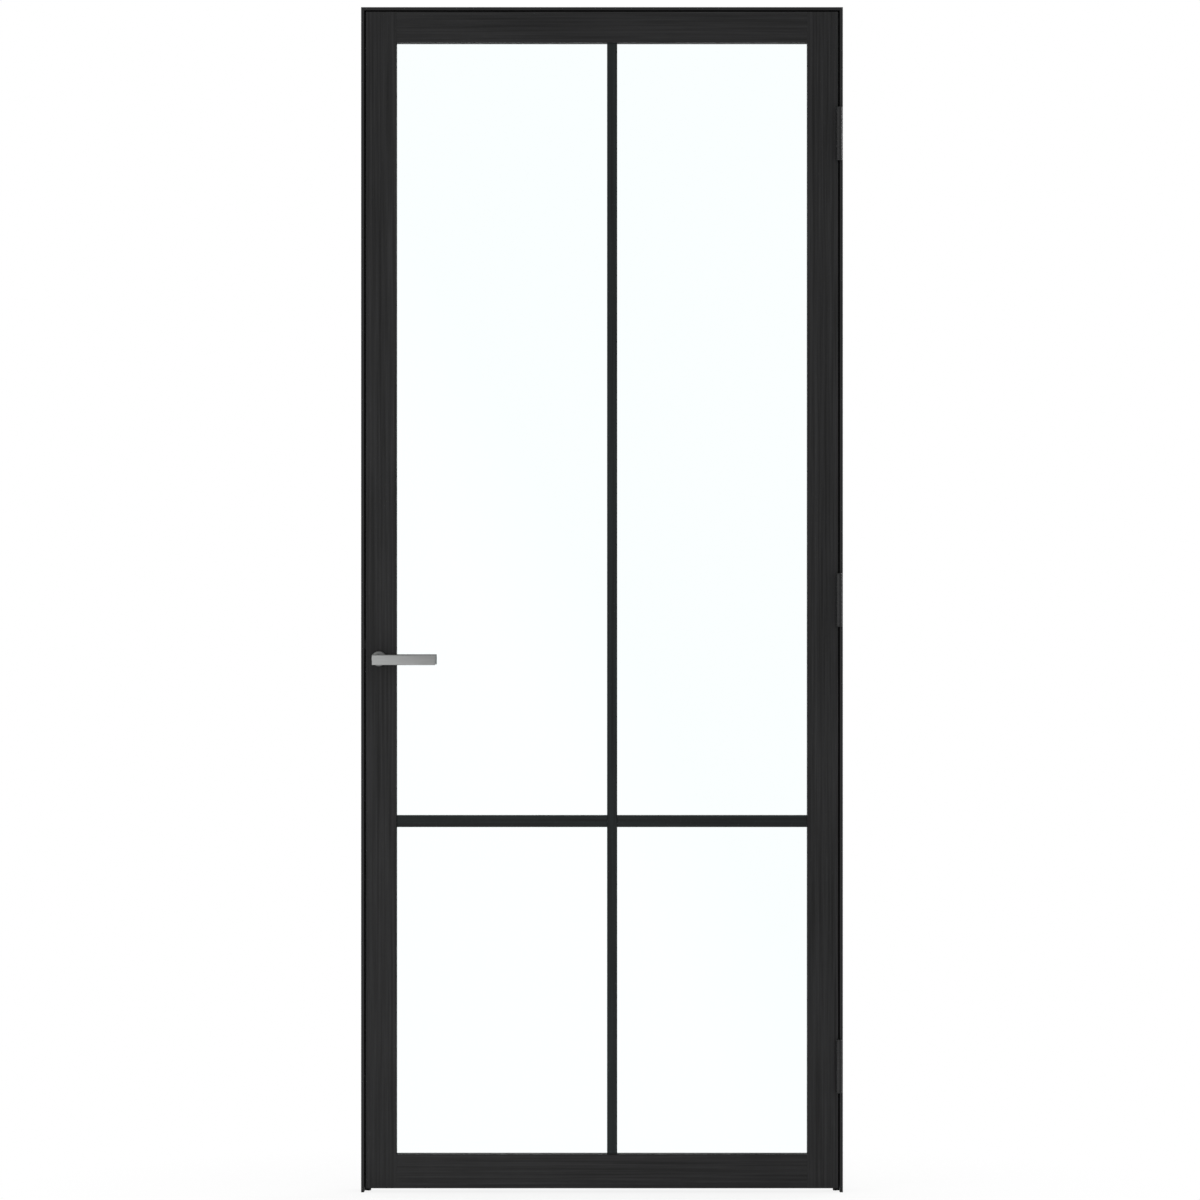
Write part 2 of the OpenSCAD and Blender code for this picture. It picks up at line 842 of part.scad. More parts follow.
module rose_cap() {
    difference() {
        rotate_extrude() {
            square([rose_r, rose_t - 2]);
            square([rose_r - 2, rose_t]);
            translate([rose_r - 2, rose_t - 2]) circle(2);
        }
        translate([0, 0, -eps]) cylinder(h = rose_t - rose_wall + eps, r = bush_r + fit);
        translate([0, 0, -eps]) cylinder(h = rose_t + 2 * eps, r = neck_r + slide_clear);
    }
}

module front_rose() {
    color(stainless) on_front() rose_cap();
}

module back_rose() {
    color(stainless) on_back() rose_cap();
}

module bush_ring() {
    difference() {
        cylinder(h = bush_t, r = bush_r);
        translate([0, 0, -eps]) cylinder(h = bush_t + 2 * eps, r = neck_r + run_clear);
        for (s = [-1, 1])
            translate([0, s * bush_screw_r, bush_t]) screw_hole(bush_screw, bush_t + eps);
    }
}

module lever_bushes() {
    color([0.15, 0.15, 0.16]) {
        on_front() bush_ring();
        on_back() bush_ring();
    }
}

module bush_screws() {
    color(zinc) for (m = [0, 1]) mirror([0, m, 0])
        at_bush_screws() screw(bush_screw, bush_screw_len);
}

// Straight grip with soft edges on a round neck, with the square socket for the spindle
module lever() {
    difference() {
        union() {
            translate([0, 0, neck_gap])
                cylinder(h = lever_reach - grip_t + grip_round - neck_gap, r = neck_r);
            translate([-grip_back, -grip_drop, lever_reach - grip_t / 2]) intersection() {
                along_x(grip_len) round_rect(grip_h, grip_t, grip_round);
                translate([grip_len / 2, grip_h, 0])
                    rotate([90, 0, 0]) linear_extrude(2 * grip_h) round_rect(grip_len, grip_t, grip_end_round);
            }
        }
        translate([0, 0, spindle_in / 2 - eps / 2 + fit])
            cube([spindle_s + 2 * fit, spindle_s + 2 * fit, spindle_in + eps], center = true);
        translate([0, 0, grub_at]) rotate([90, 0, 0]) cylinder(h = neck_r + eps, r = grub_r + fit);
    }
}

module front_lever() {
    color(stainless) on_front() lever();
}

module back_lever() {
    color(stainless) on_back() lever();
}

module grub_screw() {
    translate([0, -spindle_s / 2, grub_at]) rotate([90, 0, 0]) difference() {
        cylinder(h = neck_r - spindle_s / 2 - 0.4, r = grub_r);
        translate([0, 0, neck_r - spindle_s / 2 - 2.4]) cylinder(h = 3, r = 1.4, $fn = 6);
    }
}

module lever_grub_screws() {
    color(zinc) {
        on_front() grub_screw();
        on_back() grub_screw();
    }
}

frame_hinge_jamb();
frame_lock_jamb();
frame_head();
stop_hinge_side();
stop_lock_side();
stop_head();
seal_hinge_side();
seal_lock_side();
seal_head();
strike_plate();
strike_screws();
hinge_top_frame_plate();
hinge_middle_frame_plate();
hinge_bottom_frame_plate();
hinge_top_pin();
hinge_middle_pin();
hinge_bottom_pin();
hinge_tips();
hinge_bearings();
hinge_frame_screws();
hinge_top_leaf_plate();
hinge_middle_leaf_plate();
hinge_bottom_leaf_plate();
hinge_leaf_screws();
hinge_stile();
lock_stile();
top_rail();
bottom_rail();
corner_dowels();
glass_pane();
glazing_tape_front();
glazing_tape_back();
setting_blocks();
glazing_bead_left();
glazing_bead_right();
glazing_bead_top();
glazing_bead_bottom();
front_bar_upright();
front_bar_left();
front_bar_right();
back_bar_upright();
back_bar_left();
back_bar_right();
bar_tape();
lock_case();
lock_cover();
lock_face_plate();
lock_screws();
latch_spring();
front_rose();
back_rose();
lever_bushes();
bush_screws();
front_lever();
back_lever();
spindle();
lock_follower();
lever_grub_screws();
latch_bolt();
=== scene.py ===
import math

import bmesh
import bpy
from bpy.props import FloatProperty, FloatVectorProperty, IntProperty, PointerProperty
from mathutils import Matrix, Vector


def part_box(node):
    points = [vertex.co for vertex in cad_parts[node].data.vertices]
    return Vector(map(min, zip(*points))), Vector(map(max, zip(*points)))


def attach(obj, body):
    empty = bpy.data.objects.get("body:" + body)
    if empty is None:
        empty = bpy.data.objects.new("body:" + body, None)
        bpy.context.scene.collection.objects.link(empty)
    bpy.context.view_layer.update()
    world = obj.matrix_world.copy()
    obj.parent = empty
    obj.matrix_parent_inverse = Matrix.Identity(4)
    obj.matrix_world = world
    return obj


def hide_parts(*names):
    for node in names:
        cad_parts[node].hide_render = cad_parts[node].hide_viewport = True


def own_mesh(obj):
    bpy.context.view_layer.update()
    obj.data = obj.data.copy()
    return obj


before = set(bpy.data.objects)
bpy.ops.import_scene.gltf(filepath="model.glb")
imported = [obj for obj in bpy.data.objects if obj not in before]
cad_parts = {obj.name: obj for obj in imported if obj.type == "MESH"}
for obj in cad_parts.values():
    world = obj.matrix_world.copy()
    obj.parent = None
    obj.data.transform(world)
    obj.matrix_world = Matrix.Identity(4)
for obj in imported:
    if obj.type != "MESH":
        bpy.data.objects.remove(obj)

bl_info = {
    "name": "Glazed interior door",
    "version": (1, 0, 0),
    "blender": (4, 5, 0),
    "location": "3D View > Sidebar > Door",
    "description": "Builds the looks of a black glazed interior door in its slim steel frame",
    "category": "Object",
}

# Lengths are in metres, as in the frame, and MM turns millimetres into them
MM = 0.001
X_AXIS, Z_AXIS = 0, 2
QUARTER_TURN = math.pi / 2.0

# Rounding of edges: radii, the stop bars' share of the frame's radius, and the least angle rounded
HINGE_EDGE = 0.30 * MM
PLATE_EDGE = 0.25 * MM
BOLT_EDGE = 0.40 * MM
STOP_EDGE_SHARE = 1.5
EDGE_ANGLE = math.radians(40.0)

# Faces that meet at less than this angle are shaded as one round surface
ROUND_ANGLE = math.radians(35.0)
GRIP_ANGLE = math.radians(38.0)

# Points nearer than this are one point, and faces nearer to flat than this are one face
SAME_POINT = 0.001 * MM
SAME_BEVEL_POINT = 0.002 * MM
FLAT_ANGLE = math.radians(0.5)

# Countersunk screws: radius and height of the head, and radius of the shank
HINGE_SCREW = (4.2 * MM, 2.0 * MM, 2.0 * MM)
PLATE_SCREW = (3.5 * MM, 1.8 * MM, 1.75 * MM)
FRAME_SCREW_LENGTH = 5.7 * MM
STILE_SCREW_LENGTH = 30.0 * MM
LOCK_SCREW_LENGTH = 22.0 * MM
SCREW_BRIM = 0.02 * MM
SCREW_CHAMFER = 0.08 * MM
SCREW_STEPS = 24

# Shares of a screw's sizes: its tip by the shank, its recess by the head's radius and height
SCREW_TIP = 0.6
RECESS_ARM = 0.56
RECESS_HALF_WIDTH = 0.12
RECESS_DEPTH = 0.62

# A hinge's screws: places along the hinge as shares of its height, in two rows by depth
HINGE_SCREW_SHARES = (-0.38, -0.13, 0.13, 0.38)
HINGE_SCREW_ROWS = (-12.0 * MM, 4.0 * MM)

# Seals and the pins of the glazing beads
SEAL_FOOT = 1.4 * MM
SEAL_STEPS = 20
PIN_RADIUS = 0.75 * MM
PIN_HEAD = 0.4 * MM
PIN_SINK = 0.13 * MM
PIN_INSET = 5.0 * MM
PIN_END = 60.0 * MM
PIN_STEPS = 12

# Levers: flat grip, round neck, square socket for the spindle and hole of the grub screw
GRIP_THICKNESS = 14.0 * MM
GRIP_STEPS = 6
GRIP_END_STEPS = 4
NECK_RADIUS = 8.0 * MM
NECK_CHAMFER = 0.4 * MM
SOCKET_HALF = 4.05 * MM
SOCKET_ROOM = 0.1 * MM
SOCKET_LEAD = 2.0 * MM
GRUB_RADIUS = 2.5 * MM
GRUB_HOLE_RADIUS = 2.55 * MM
GRUB_HOLE_DEPTH = 12.0 * MM
GRUB_HOLE_STEPS = 32

# Roses: a cap with a soft rim and a bore for the neck
ROSE_BORE = 8.15 * MM
ROSE_SIDE = 1.65 * MM
ROSE_TOP = 1.6 * MM
ROSE_RIM = 2.0 * MM
ROSE_RIM_STEPS = 6
ROSE_FOOT = 0.2 * MM
ROSE_MOUTH = 0.3 * MM

# Latch spring, with the steps of one turn and of the wire's round
SPRING_WIRE = 0.3 * MM
SPRING_TURNS = 4.0
SPRING_STEPS = 28
WIRE_STEPS = 10

# Lamps: name, place, target, width and share of the key lamp's power
LAMPS = (
    ("key lamp", (-3.2, -3.4, 1.3), (0.0, 0.0, 0.7), 2.4, 1.0),
    ("fill lamp", (3.4, -3.0, 2.2), (0.0, 0.0, 1.1), 2.4, 0.16),
    ("back lamp", (2.6, 3.6, 2.4), (0.0, 0.0, 1.1), 2.2, 1.4),
)

# Card before the door: its run along the floor, its bend, its top and half its width
CARD_NEAR = -0.06
CARD_FAR = -3.2
CARD_LIFT = 0.004
CARD_BEND = 0.8
CARD_BEND_STEPS = 6
CARD_TOP = 4.5
CARD_HALF = 2.6

# Where the card brightens: its rise towards the lower left, and the stretch of it from plain to full
CARD_RISE = (-1.456, 0.0, -0.766)
CARD_PLAIN = -0.90
CARD_FULL = -0.42

# Floor: half its width, and its own white, which grows from this share to 1 between two distances
FLOOR_HALF = 60.0
FLOOR_WHITE = 0.82
FLOOR_FADE = (0.3, 1.2)

# Camera: width of its sensor in millimetres, its place across the door and how far it sees
SENSOR_WIDTH = 36.0
CAMERA_SIDE = -0.0039
CAMERA_REACH = 200.0


# Sizes and colours that a user would change


def tone(name, description, default):
    """A colour setting."""
    return FloatVectorProperty(
        name=name, description=description, subtype="COLOR", size=3, min=0.0, max=1.0, default=default
    )


def length(name, description, default, low, high):
    """A length setting in metres."""
    return FloatProperty(
        name=name, description=description, unit="LENGTH", precision=5, min=low, max=high, default=default
    )


def level(name, description, default, low, high, unit="NONE"):
    """A setting that is any other number."""
    return FloatProperty(
        name=name, description=description, unit=unit, min=low, max=high, default=default
    )


class LeafSettings(bpy.types.PropertyGroup):
    """Timber of the leaf and its bars."""

    lacquer: tone("Lacquer", "Colour of the lacquered timber", (0.0092, 0.0092, 0.0096))
    bar_lacquer: tone("Bar lacquer", "Colour of the glazing bars", (0.0048, 0.0070, 0.0070))
    grain_depth: length("Grain depth", "How deep the grain shows in the lacquer", 0.00010, 0.0, 0.0005)
    edge_round: length("Edge rounding", "Radius on the timber's edges", 0.00040, 0.0001, 0.0008)
    pin_gap: length("Bead pin gap", "Distance between the pins in the glazing beads", 0.200, 0.05, 0.5)


class GlassSettings(bpy.types.PropertyGroup):
    """The glass pane."""

    tint: tone("Tint", "Faint colour of the clear glass", (0.955, 1.0, 1.0))
    arris: length("Polished edge", "Width of the polished edge of the glass", 0.0006, 0.0001, 0.0015)


class FrameSettings(bpy.types.PropertyGroup):
    """Steel frame, hinges and seals."""

    steel: tone("Frame coating", "Colour of the coated steel", (0.0080, 0.0080, 0.0084))
    hinge: tone("Hinge black", "Colour of the blackened hinges", (0.012, 0.012, 0.0125))
    rubber: tone("Seal rubber", "Colour of the seals", (0.012, 0.012, 0.012))
    edge_round: length("Edge rounding", "Radius on the steel's edges", 0.0005, 0.0001, 0.001)


class MetalSettings(bpy.types.PropertyGroup):
    """Levers, roses and lock."""

    stainless: tone("Lever steel", "Colour of the brushed levers", (0.205, 0.209, 0.207))
    # The roses' colour is about half of the levers' steel: the turned rings are real, but the darker
    # colour is painted shade, the grip's shadow on the rose.
    rose: tone("Rose steel darkened as painted shade", "Colour of the turned roses", (0.113, 0.115, 0.114))
    zinc: tone("Zinc plate", "Colour of the plated lock pieces", (0.52, 0.53, 0.55))
    grip_round: length("Grip rounding", "Radius on the grip's long edges", 0.0025, 0.001, 0.005)
    end_round: length("End rounding", "Radius on the grip's ends", 0.0012, 0.0005, 0.003)
    turn_steps: IntProperty(
        name="Round steps", description="Facets round a turned piece", default=72, min=24, max=160
    )


class StageSettings(bpy.types.PropertyGroup):
    """Floor, lamps and camera."""

    floor: tone("Floor", "Colour of the floor", (0.92, 0.92, 0.92))
    lens: level("Lens", "Focal length in millimetres", 200.0, 35.0, 400.0, unit="CAMERA")
    view_width: length("View width", "Width of the picture at the leaf's front", 2.3611, 1.0, 6.0)
    sky: level("Room light", "Strength of the even light", 0.82, 0.0, 2.0)
    card: level("Card", "Brightest part of the card that the glass mirrors", 1.8, 1.0, 4.0)
    key: level("Key lamp", "Power of the main lamp in watts", 45.0, 0.0, 1000.0, unit="POWER")


# Node trees


class Nodes:
    """Short way to add the nodes of one tree and to join them."""

    def __init__(self, tree):
        self.tree = tree

    def add(self, kind, values=None, **settings):
        """New node with its settings and its inputs."""
        made = self.tree.nodes.new(kind)
        for name, value in settings.items():
            setattr(made, name, value)
        self.fill(made, values or {})
        return made

    def fill(self, node, values):
        """Sets each given input to a value, or joins it to another node's output."""
        for key, value in values.items():
            if isinstance(value, bpy.types.NodeSocket):
                self.tree.links.new(value, node.inputs[key])
            else:
                node.inputs[key].default_value = value


def new_finish(name):
    """New material with its nodes, its shader and the coordinates of the piece itself."""
    material = bpy.data.materials.new(name)
    material.use_nodes = True
    nodes = Nodes(material.node_tree)
    shader = nodes.tree.nodes["Principled BSDF"]
    coords = nodes.add("ShaderNodeTexCoord").outputs["Object"]
    return material, nodes, shader, coords


def along(axis, lengthwise, across):
    """Waves per metre: few along the axis, many across it."""
    return tuple(lengthwise if i == axis else across for i in range(3))


def evenly(waves):
    """The same number of waves per metre along each axis."""
    return (waves, waves, waves)


def noise(nodes, coords, waves, detail=4.0, rough=0.6):
    """Noise with its own number of waves per metre along each axis."""
    mapping = nodes.add("ShaderNodeMapping", {"Vector": coords, "Scale": waves})
    values = {"Vector": mapping.outputs["Vector"], "Scale": 1.0, "Detail": detail, "Roughness": rough}
    return nodes.add("ShaderNodeTexNoise", values).outputs["Fac"]


def spread(nodes, value, low, high, start=0.3, end=0.7):
    """Value from start to end, as low to high."""
    values = {"Value": value, "From Min": start, "From Max": end, "To Min": low, "To Max": high}
    return nodes.add("ShaderNodeMapRange", values).outputs["Result"]


def scaled(colour, factor):
    """Lighter or darker shade of a colour."""
    return tuple(min(1.0, c * factor) for c in colour)


def shades(nodes, value, low, high, start=0.3, end=0.7):
    """Colour from the low shade at start to the high shade at end."""
    ramp = nodes.add("ShaderNodeValToRGB", {"Fac": value})
    for element, place, shade in zip(ramp.color_ramp.elements, (start, end), (low, high)):
        element.position = place
        element.color = (*shade, 1.0)
    return ramp.outputs["Color"]


def colour_mix(nodes, share, body, over):
    """A plain colour over the body's colour, by share."""
    factor, below, above, result = 0, 6, 7, 2
    values = {factor: share, below: body, above: (*over, 1.0)}
    return nodes.add("ShaderNodeMix", values, data_type="RGBA").outputs[result]


def height_mix(nodes, first, second):
    """Two heights mixed, with a little more of the first."""
    factor, below, above, result = 0, 2, 3, 0
    values = {factor: 0.45, below: first, above: second}
    return nodes.add("ShaderNodeMix", values, data_type="FLOAT").outputs[result]


def times(nodes, first, second):
    """Product of two numbers."""
    return nodes.add("ShaderNodeMath", {0: first, 1: second}, operation="MULTIPLY").outputs[0]


def worn_edge(nodes, coords):
    """1 on the rubbed parts of the rounded edges, 0 elsewhere."""
    edge = nodes.add("ShaderNodeAttribute", attribute_name="edge").outputs["Fac"]
    patches = noise(nodes, coords, evenly(60.0))
    return times(nodes, edge, spread(nodes, patches, 0.0, 1.0, start=0.5, end=0.72))


def relief(nodes, height, depth, strength):
    """Normals of a fine relief of the given depth in metres."""
    values = {"Height": height, "Distance": depth, "Strength": strength}
    return nodes.add("ShaderNodeBump", values).outputs["Normal"]


# Finishes


def lacquered_timber(name, colour, axis, depth):
    """Matt lacquer over timber whose grain runs along one axis."""
    material, nodes, shader, coords = new_finish(name)
    grain = noise(nodes, coords, along(axis, 3.0, 210.0), detail=6.0, rough=0.65)
    pores = noise(nodes, coords, along(axis, 26.0, 1300.0), detail=3.0, rough=0.5)
    cloud = noise(nodes, coords, evenly(5.0), detail=3.0)
    body = shades(nodes, grain, scaled(colour, 0.30), scaled(colour, 1.95), start=0.32, end=0.70)
    open_pores = spread(nodes, pores, 0.45, 0.0, start=0.30, end=0.46)
    body = colour_mix(nodes, open_pores, body, scaled(colour, 0.45))
    look = {
        "Base Color": colour_mix(nodes, worn_edge(nodes, coords), body, scaled(colour, 2.4)),
        "Roughness": spread(nodes, cloud, 0.44, 0.60),
        "Specular IOR Level": 0.15,
        "Normal": relief(nodes, height_mix(nodes, grain, pores), depth, strength=0.5),
    }
    nodes.fill(shader, look)
    return material


def coated_steel(name, colour, peel, rough, bare):
    """Coated or blackened steel: fine orange peel, clouded gloss, rubbed edges."""
    material, nodes, shader, coords = new_finish(name)
    skin = noise(nodes, coords, evenly(peel), detail=2.0)
    cloud = noise(nodes, coords, evenly(9.0))
    body = shades(nodes, cloud, scaled(colour, 0.8), scaled(colour, 1.25))
    look = {
        "Base Color": colour_mix(nodes, worn_edge(nodes, coords), body, bare),
        "Roughness": spread(nodes, cloud, rough - 0.06, rough + 0.08),
        "Specular IOR Level": 0.18,
        "Normal": relief(nodes, skin, 0.06 * MM, strength=0.5),
    }
    nodes.fill(shader, look)
    return material


def fine_lines(nodes, coords, lines, body, rough, strength):
    """Look of bare steel with fine lines in it."""
    cloud = noise(nodes, coords, evenly(45.0), detail=3.0)
    return {
        "Base Color": body,
        "Roughness": spread(nodes, height_mix(nodes, lines, cloud), rough - 0.07, rough + 0.1),
        "Metallic": 1.0,
        "Normal": relief(nodes, lines, 0.02 * MM, strength),
    }


def brushed_steel(name, colour, axis, rough):
    """Stainless steel brushed along one axis."""
    material, nodes, shader, coords = new_finish(name)
    lines = noise(nodes, coords, along(axis, 22.0, 2600.0), detail=5.0, rough=0.7)
    body = shades(nodes, lines, scaled(colour, 0.78), scaled(colour, 1.2))
    body = colour_mix(nodes, worn_edge(nodes, coords), body, scaled(colour, 1.35))
    nodes.fill(shader, fine_lines(nodes, coords, lines, body, rough, strength=0.35))
    return material


def turned_steel(name, colour, centre, rough):
    """Stainless steel with the fine rings of a lathe round an axis along Y."""
    material, nodes, shader, coords = new_finish(name)
    place = coords
    for operation, other in (("SUBTRACT", centre), ("MULTIPLY", (1.0, 0.0, 1.0))):
        moved = nodes.add("ShaderNodeVectorMath", {0: place, 1: other}, operation=operation)
        place = moved.outputs["Vector"]
    radius = nodes.add("ShaderNodeVectorMath", {0: place}, operation="LENGTH").outputs["Value"]
    values = {"W": radius, "Scale": 2600.0, "Detail": 3.0, "Roughness": 0.6}
    lines = nodes.add("ShaderNodeTexNoise", values, noise_dimensions="1D").outputs["Fac"]
    body = shades(nodes, lines, scaled(colour, 0.8), scaled(colour, 1.2))
    nodes.fill(shader, fine_lines(nodes, coords, lines, body, rough, strength=0.3))
    return material


def plated_steel(name, colour, rough):
    """Zinc plate: small clouded patches with a dull shine."""
    material, nodes, shader, coords = new_finish(name)
    patches = nodes.add("ShaderNodeTexVoronoi", {"Vector": coords, "Scale": 420.0}).outputs["Distance"]
    cloud = noise(nodes, coords, evenly(130.0))
    body = shades(nodes, patches, scaled(colour, 1.12), scaled(colour, 0.84), start=0.1, end=0.8)
    look = {
        "Base Color": body,
        "Roughness": spread(nodes, cloud, rough - 0.08, rough + 0.1),
        "Metallic": 1.0,
        "Normal": relief(nodes, cloud, 0.02 * MM, strength=0.3),
    }
    nodes.fill(shader, look)
    return material


def dull_skin(name, colour, waves):
    """Rubber, foam tape or plastic: dull, with a fine uneven skin."""
    material, nodes, shader, coords = new_finish(name)
    skin = noise(nodes, coords, evenly(waves))
    look = {
        "Base Color": shades(nodes, skin, scaled(colour, 0.75), scaled(colour, 1.3)),
        "Roughness": spread(nodes, skin, 0.62, 0.82),
        "Specular IOR Level": 0.25,
        "Normal": relief(nodes, skin, 0.05 * MM, strength=0.4),
    }
    nodes.fill(shader, look)
    return material


def beech(name, dark, pale):
    """Bare beech with short flecks along X."""
    material, nodes, shader, coords = new_finish(name)
    grain = noise(nodes, coords, along(X_AXIS, 14.0, 420.0), detail=5.0)
    look = {
        "Base Color": shades(nodes, grain, dark, pale),
        "Roughness": spread(nodes, grain, 0.55, 0.7),
        "Normal": relief(nodes, grain, 0.1 * MM, strength=0.4),
    }
    nodes.fill(shader, look)
    return material


def clear_glass(name, tint):
    """Clear float glass, a little uneven as real panes are."""
    material, nodes, shader, coords = new_finish(name)
    wave = noise(nodes, coords, (1.3, 1.3, 0.7), detail=1.0, rough=0.4)
    look = {
        "Base Color": shades(nodes, wave, tint, scaled(tint, 1.01)),
        "Roughness": spread(nodes, wave, 0.0, 0.012),
        "IOR": 1.45,
        "Transmission Weight": 1.0,
    }
    nodes.fill(shader, look)
    return material


def finish(name):
    """The named finish, made at its first use from the settings."""
    if name in bpy.data.materials:
        return bpy.data.materials[name]
    scene = bpy.context.scene
    leaf, steel, metal = scene.door_leaf, scene.door_frame, scene.door_metal

    def timber(colour, axis):
        return lacquered_timber(name, tuple(colour), axis, leaf.grain_depth)

    makers = {
        "upright lacquer": lambda: timber(leaf.lacquer, Z_AXIS),
        "level lacquer": lambda: timber(leaf.lacquer, X_AXIS),
        "upright bar lacquer": lambda: timber(leaf.bar_lacquer, Z_AXIS),
        "level bar lacquer": lambda: timber(leaf.bar_lacquer, X_AXIS),
        "frame coating": lambda: coated_steel(name, tuple(steel.steel), 800.0, 0.50, (0.03, 0.03, 0.03)),
        "hinge black": lambda: coated_steel(name, tuple(steel.hinge), 1500.0, 0.36, (0.10, 0.10, 0.10)),
        "seal rubber": lambda: dull_skin(name, tuple(steel.rubber), 600.0),
        "foam tape": lambda: dull_skin(name, (0.010, 0.010, 0.010), 1400.0),
        "block plastic": lambda: dull_skin(name, (0.02, 0.02, 0.022), 250.0),
        "bush plastic": lambda: dull_skin(name, (0.03, 0.03, 0.032), 300.0),
        "brushed stainless": lambda: brushed_steel(name, tuple(metal.stainless), X_AXIS, 0.34),
        # The roses' turned finish takes the darker rose colour, which paints the grip's shade onto the
        # rose.
        "turned stainless": lambda: turned_steel(name, tuple(metal.rose), middle("spindle"), 0.36),
        "latch steel": lambda: brushed_steel(name, (0.50, 0.50, 0.49), Z_AXIS, 0.26),
        "zinc plate": lambda: plated_steel(name, tuple(metal.zinc), 0.38),
        "bare beech": lambda: beech(name, (0.36, 0.20, 0.10), (0.60, 0.40, 0.23)),
        "clear glass": lambda: clear_glass(name, tuple(scene.door_glass.tint)),
    }
    return makers[name]()


# Making and seating pieces


def middle(node):
    """Centre of a CAD node's box."""
    low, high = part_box(node)
    return (low + high) / 2.0


def new_piece(name, mesh):
    """Object with the mesh, in the scene."""
    piece = bpy.data.objects.new(name, mesh)
    bpy.context.scene.collection.objects.link(piece)
    return piece


def plain_piece(name, points, lines=(), faces=()):
    """New piece straight from its points, lines and faces."""
    mesh = bpy.data.meshes.new(name)
    mesh.from_pydata([tuple(p) for p in points], list(lines), list(faces))
    return new_piece(name, mesh)


def solid_piece(name, made):
    """New piece from a finished bmesh, its faces outwards."""
    bmesh.ops.recalc_face_normals(made, faces=made.faces)
    mesh = bpy.data.meshes.new(name)
    made.to_mesh(mesh)
    made.free()
    return new_piece(name, mesh)


def discard(piece):
    """Removes a piece that only served to shape another, with its mesh."""
    mesh = piece.data
    bpy.data.objects.remove(piece)
    bpy.data.meshes.remove(mesh)


def seat(piece, body, slot, finish_name, *nodes):
    """Gives the piece its finish, its body and the CAD nodes that it stands for."""
    piece.data.materials.clear()
    piece.data.materials.append(finish(finish_name))
    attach(piece, body)
    if nodes:
        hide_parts(*nodes)


def carry_over(finish_name, *nodes):
    """CAD nodes that are shown as they are, with a finish."""
    for node in nodes:
        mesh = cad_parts[node].data
        mesh.materials.clear()
        mesh.materials.append(finish(finish_name))


def smooth(piece, angle):
    """Shades the piece's round faces as one, and keeps its sharper edges."""
    piece.data.shade_smooth()
    piece.data.set_sharp_from_angle(angle=angle)


def settle(piece):
    """Turns the piece's modifiers into a plain mesh."""
    bpy.context.view_layer.update()
    depsgraph = bpy.context.evaluated_depsgraph_get()
    mesh = bpy.data.meshes.new_from_object(piece.evaluated_get(depsgraph))
    before = piece.data
    piece.modifiers.clear()
    piece.data = mesh
    bpy.data.meshes.remove(before)
    mesh.name = piece.name


def soften(piece, width, steps):
    """Rounds the piece's sharp edges and marks the rounded strips for edge wear."""
    mesh = piece.data
    mesh.materials.clear()
    mesh.materials.append(None)
    mesh.materials.append(None)
    mesh.shade_smooth()
    bevel = piece.modifiers.new("rounded edges", "BEVEL")
    bevel.width = width
    bevel.segments = steps
    bevel.limit_method = "ANGLE"
    bevel.angle_limit = EDGE_ANGLE
    bevel.material = 1
    piece.modifiers.new("no empty faces", "WELD").merge_threshold = SAME_BEVEL_POINT
    piece.modifiers.new("even shading", "WEIGHTED_NORMAL").mode = "FACE_AREA"
    settle(piece)
    faces = piece.data.polygons
    marks = [0] * len(faces)
    faces.foreach_get("material_index", marks)
    edge = piece.data.attributes.new("edge", "FLOAT", "FACE")
    edge.data.foreach_set("value", [float(m) for m in marks])
    piece.data.polygons.foreach_set("material_index", [0] * len(marks))


def rounded_node(node, name, width, steps=2):
    """New piece with a CAD node's form, its flat faces whole and its edges rounded."""
    made = bmesh.new()
    made.from_mesh(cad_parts[node].data)
    bmesh.ops.remove_doubles(made, verts=made.verts, dist=SAME_POINT)
    bmesh.ops.dissolve_limit(
        made,
        angle_limit=FLAT_ANGLE,
        use_dissolve_boundaries=False,
        verts=made.verts,
        edges=made.edges,
    )
    piece = solid_piece(name, made)
    soften(piece, width, steps)
    return piece


def dress(node, ending, width, body, slot, finish_name, steps=2):
    """Shows a CAD node as a piece with rounded edges, named after it."""
    seat(rounded_node(node, node + ending, width, steps), body, slot, finish_name, node)


def arc(centre, radius, start, end, steps):
    """Points of a round stretch between two angles in degrees."""
    angles = [math.radians(start + (end - start) * i / steps) for i in range(steps + 1)]
    return [(centre[0] + radius * math.cos(a), centre[1] + radius * math.sin(a)) for a in angles]


def turned(name, profile, place, steps):
    """Solid of revolution from (radius, height) points, closed unless it starts and ends on the axis."""
    made = bmesh.new()
    rings = []
    for radius, height in profile:
        spots = arc((0.0, 0.0), radius, 0.0, 360.0, steps)[:-1] if radius > 0.0 else [(0.0, 0.0)]
        rings.append([made.verts.new(place @ Vector((x, y, height))) for x, y in spots])
    pairs = list(zip(rings, rings[1:]))
    if len(rings[0]) > 1:
        pairs.append((rings[-1], rings[0]))
    for low, high in pairs:
        for i in range(steps):
            k = (i + 1) % steps
            corners = [low[i % len(low)], low[k % len(low)], high[k % len(high)], high[i % len(high)]]
            corners = [v for n, v in enumerate(corners) if v not in corners[:n]]
            if len(corners) > 2:
                made.faces.new(corners)
    piece = solid_piece(name, made)
    smooth(piece, ROUND_ANGLE)
    return piece


def box_form(low, high):
    """The bmesh of a box between two corners."""
    low, high = Vector(low), Vector(high)
    made = bmesh.new()
    bmesh.ops.create_cube(made, size=1.0)
    place = Matrix.Translation((low + high) / 2.0) @ Matrix.Diagonal((*(high - low), 1.0))
    bmesh.ops.transform(made, matrix=place, verts=made.verts)
    return made


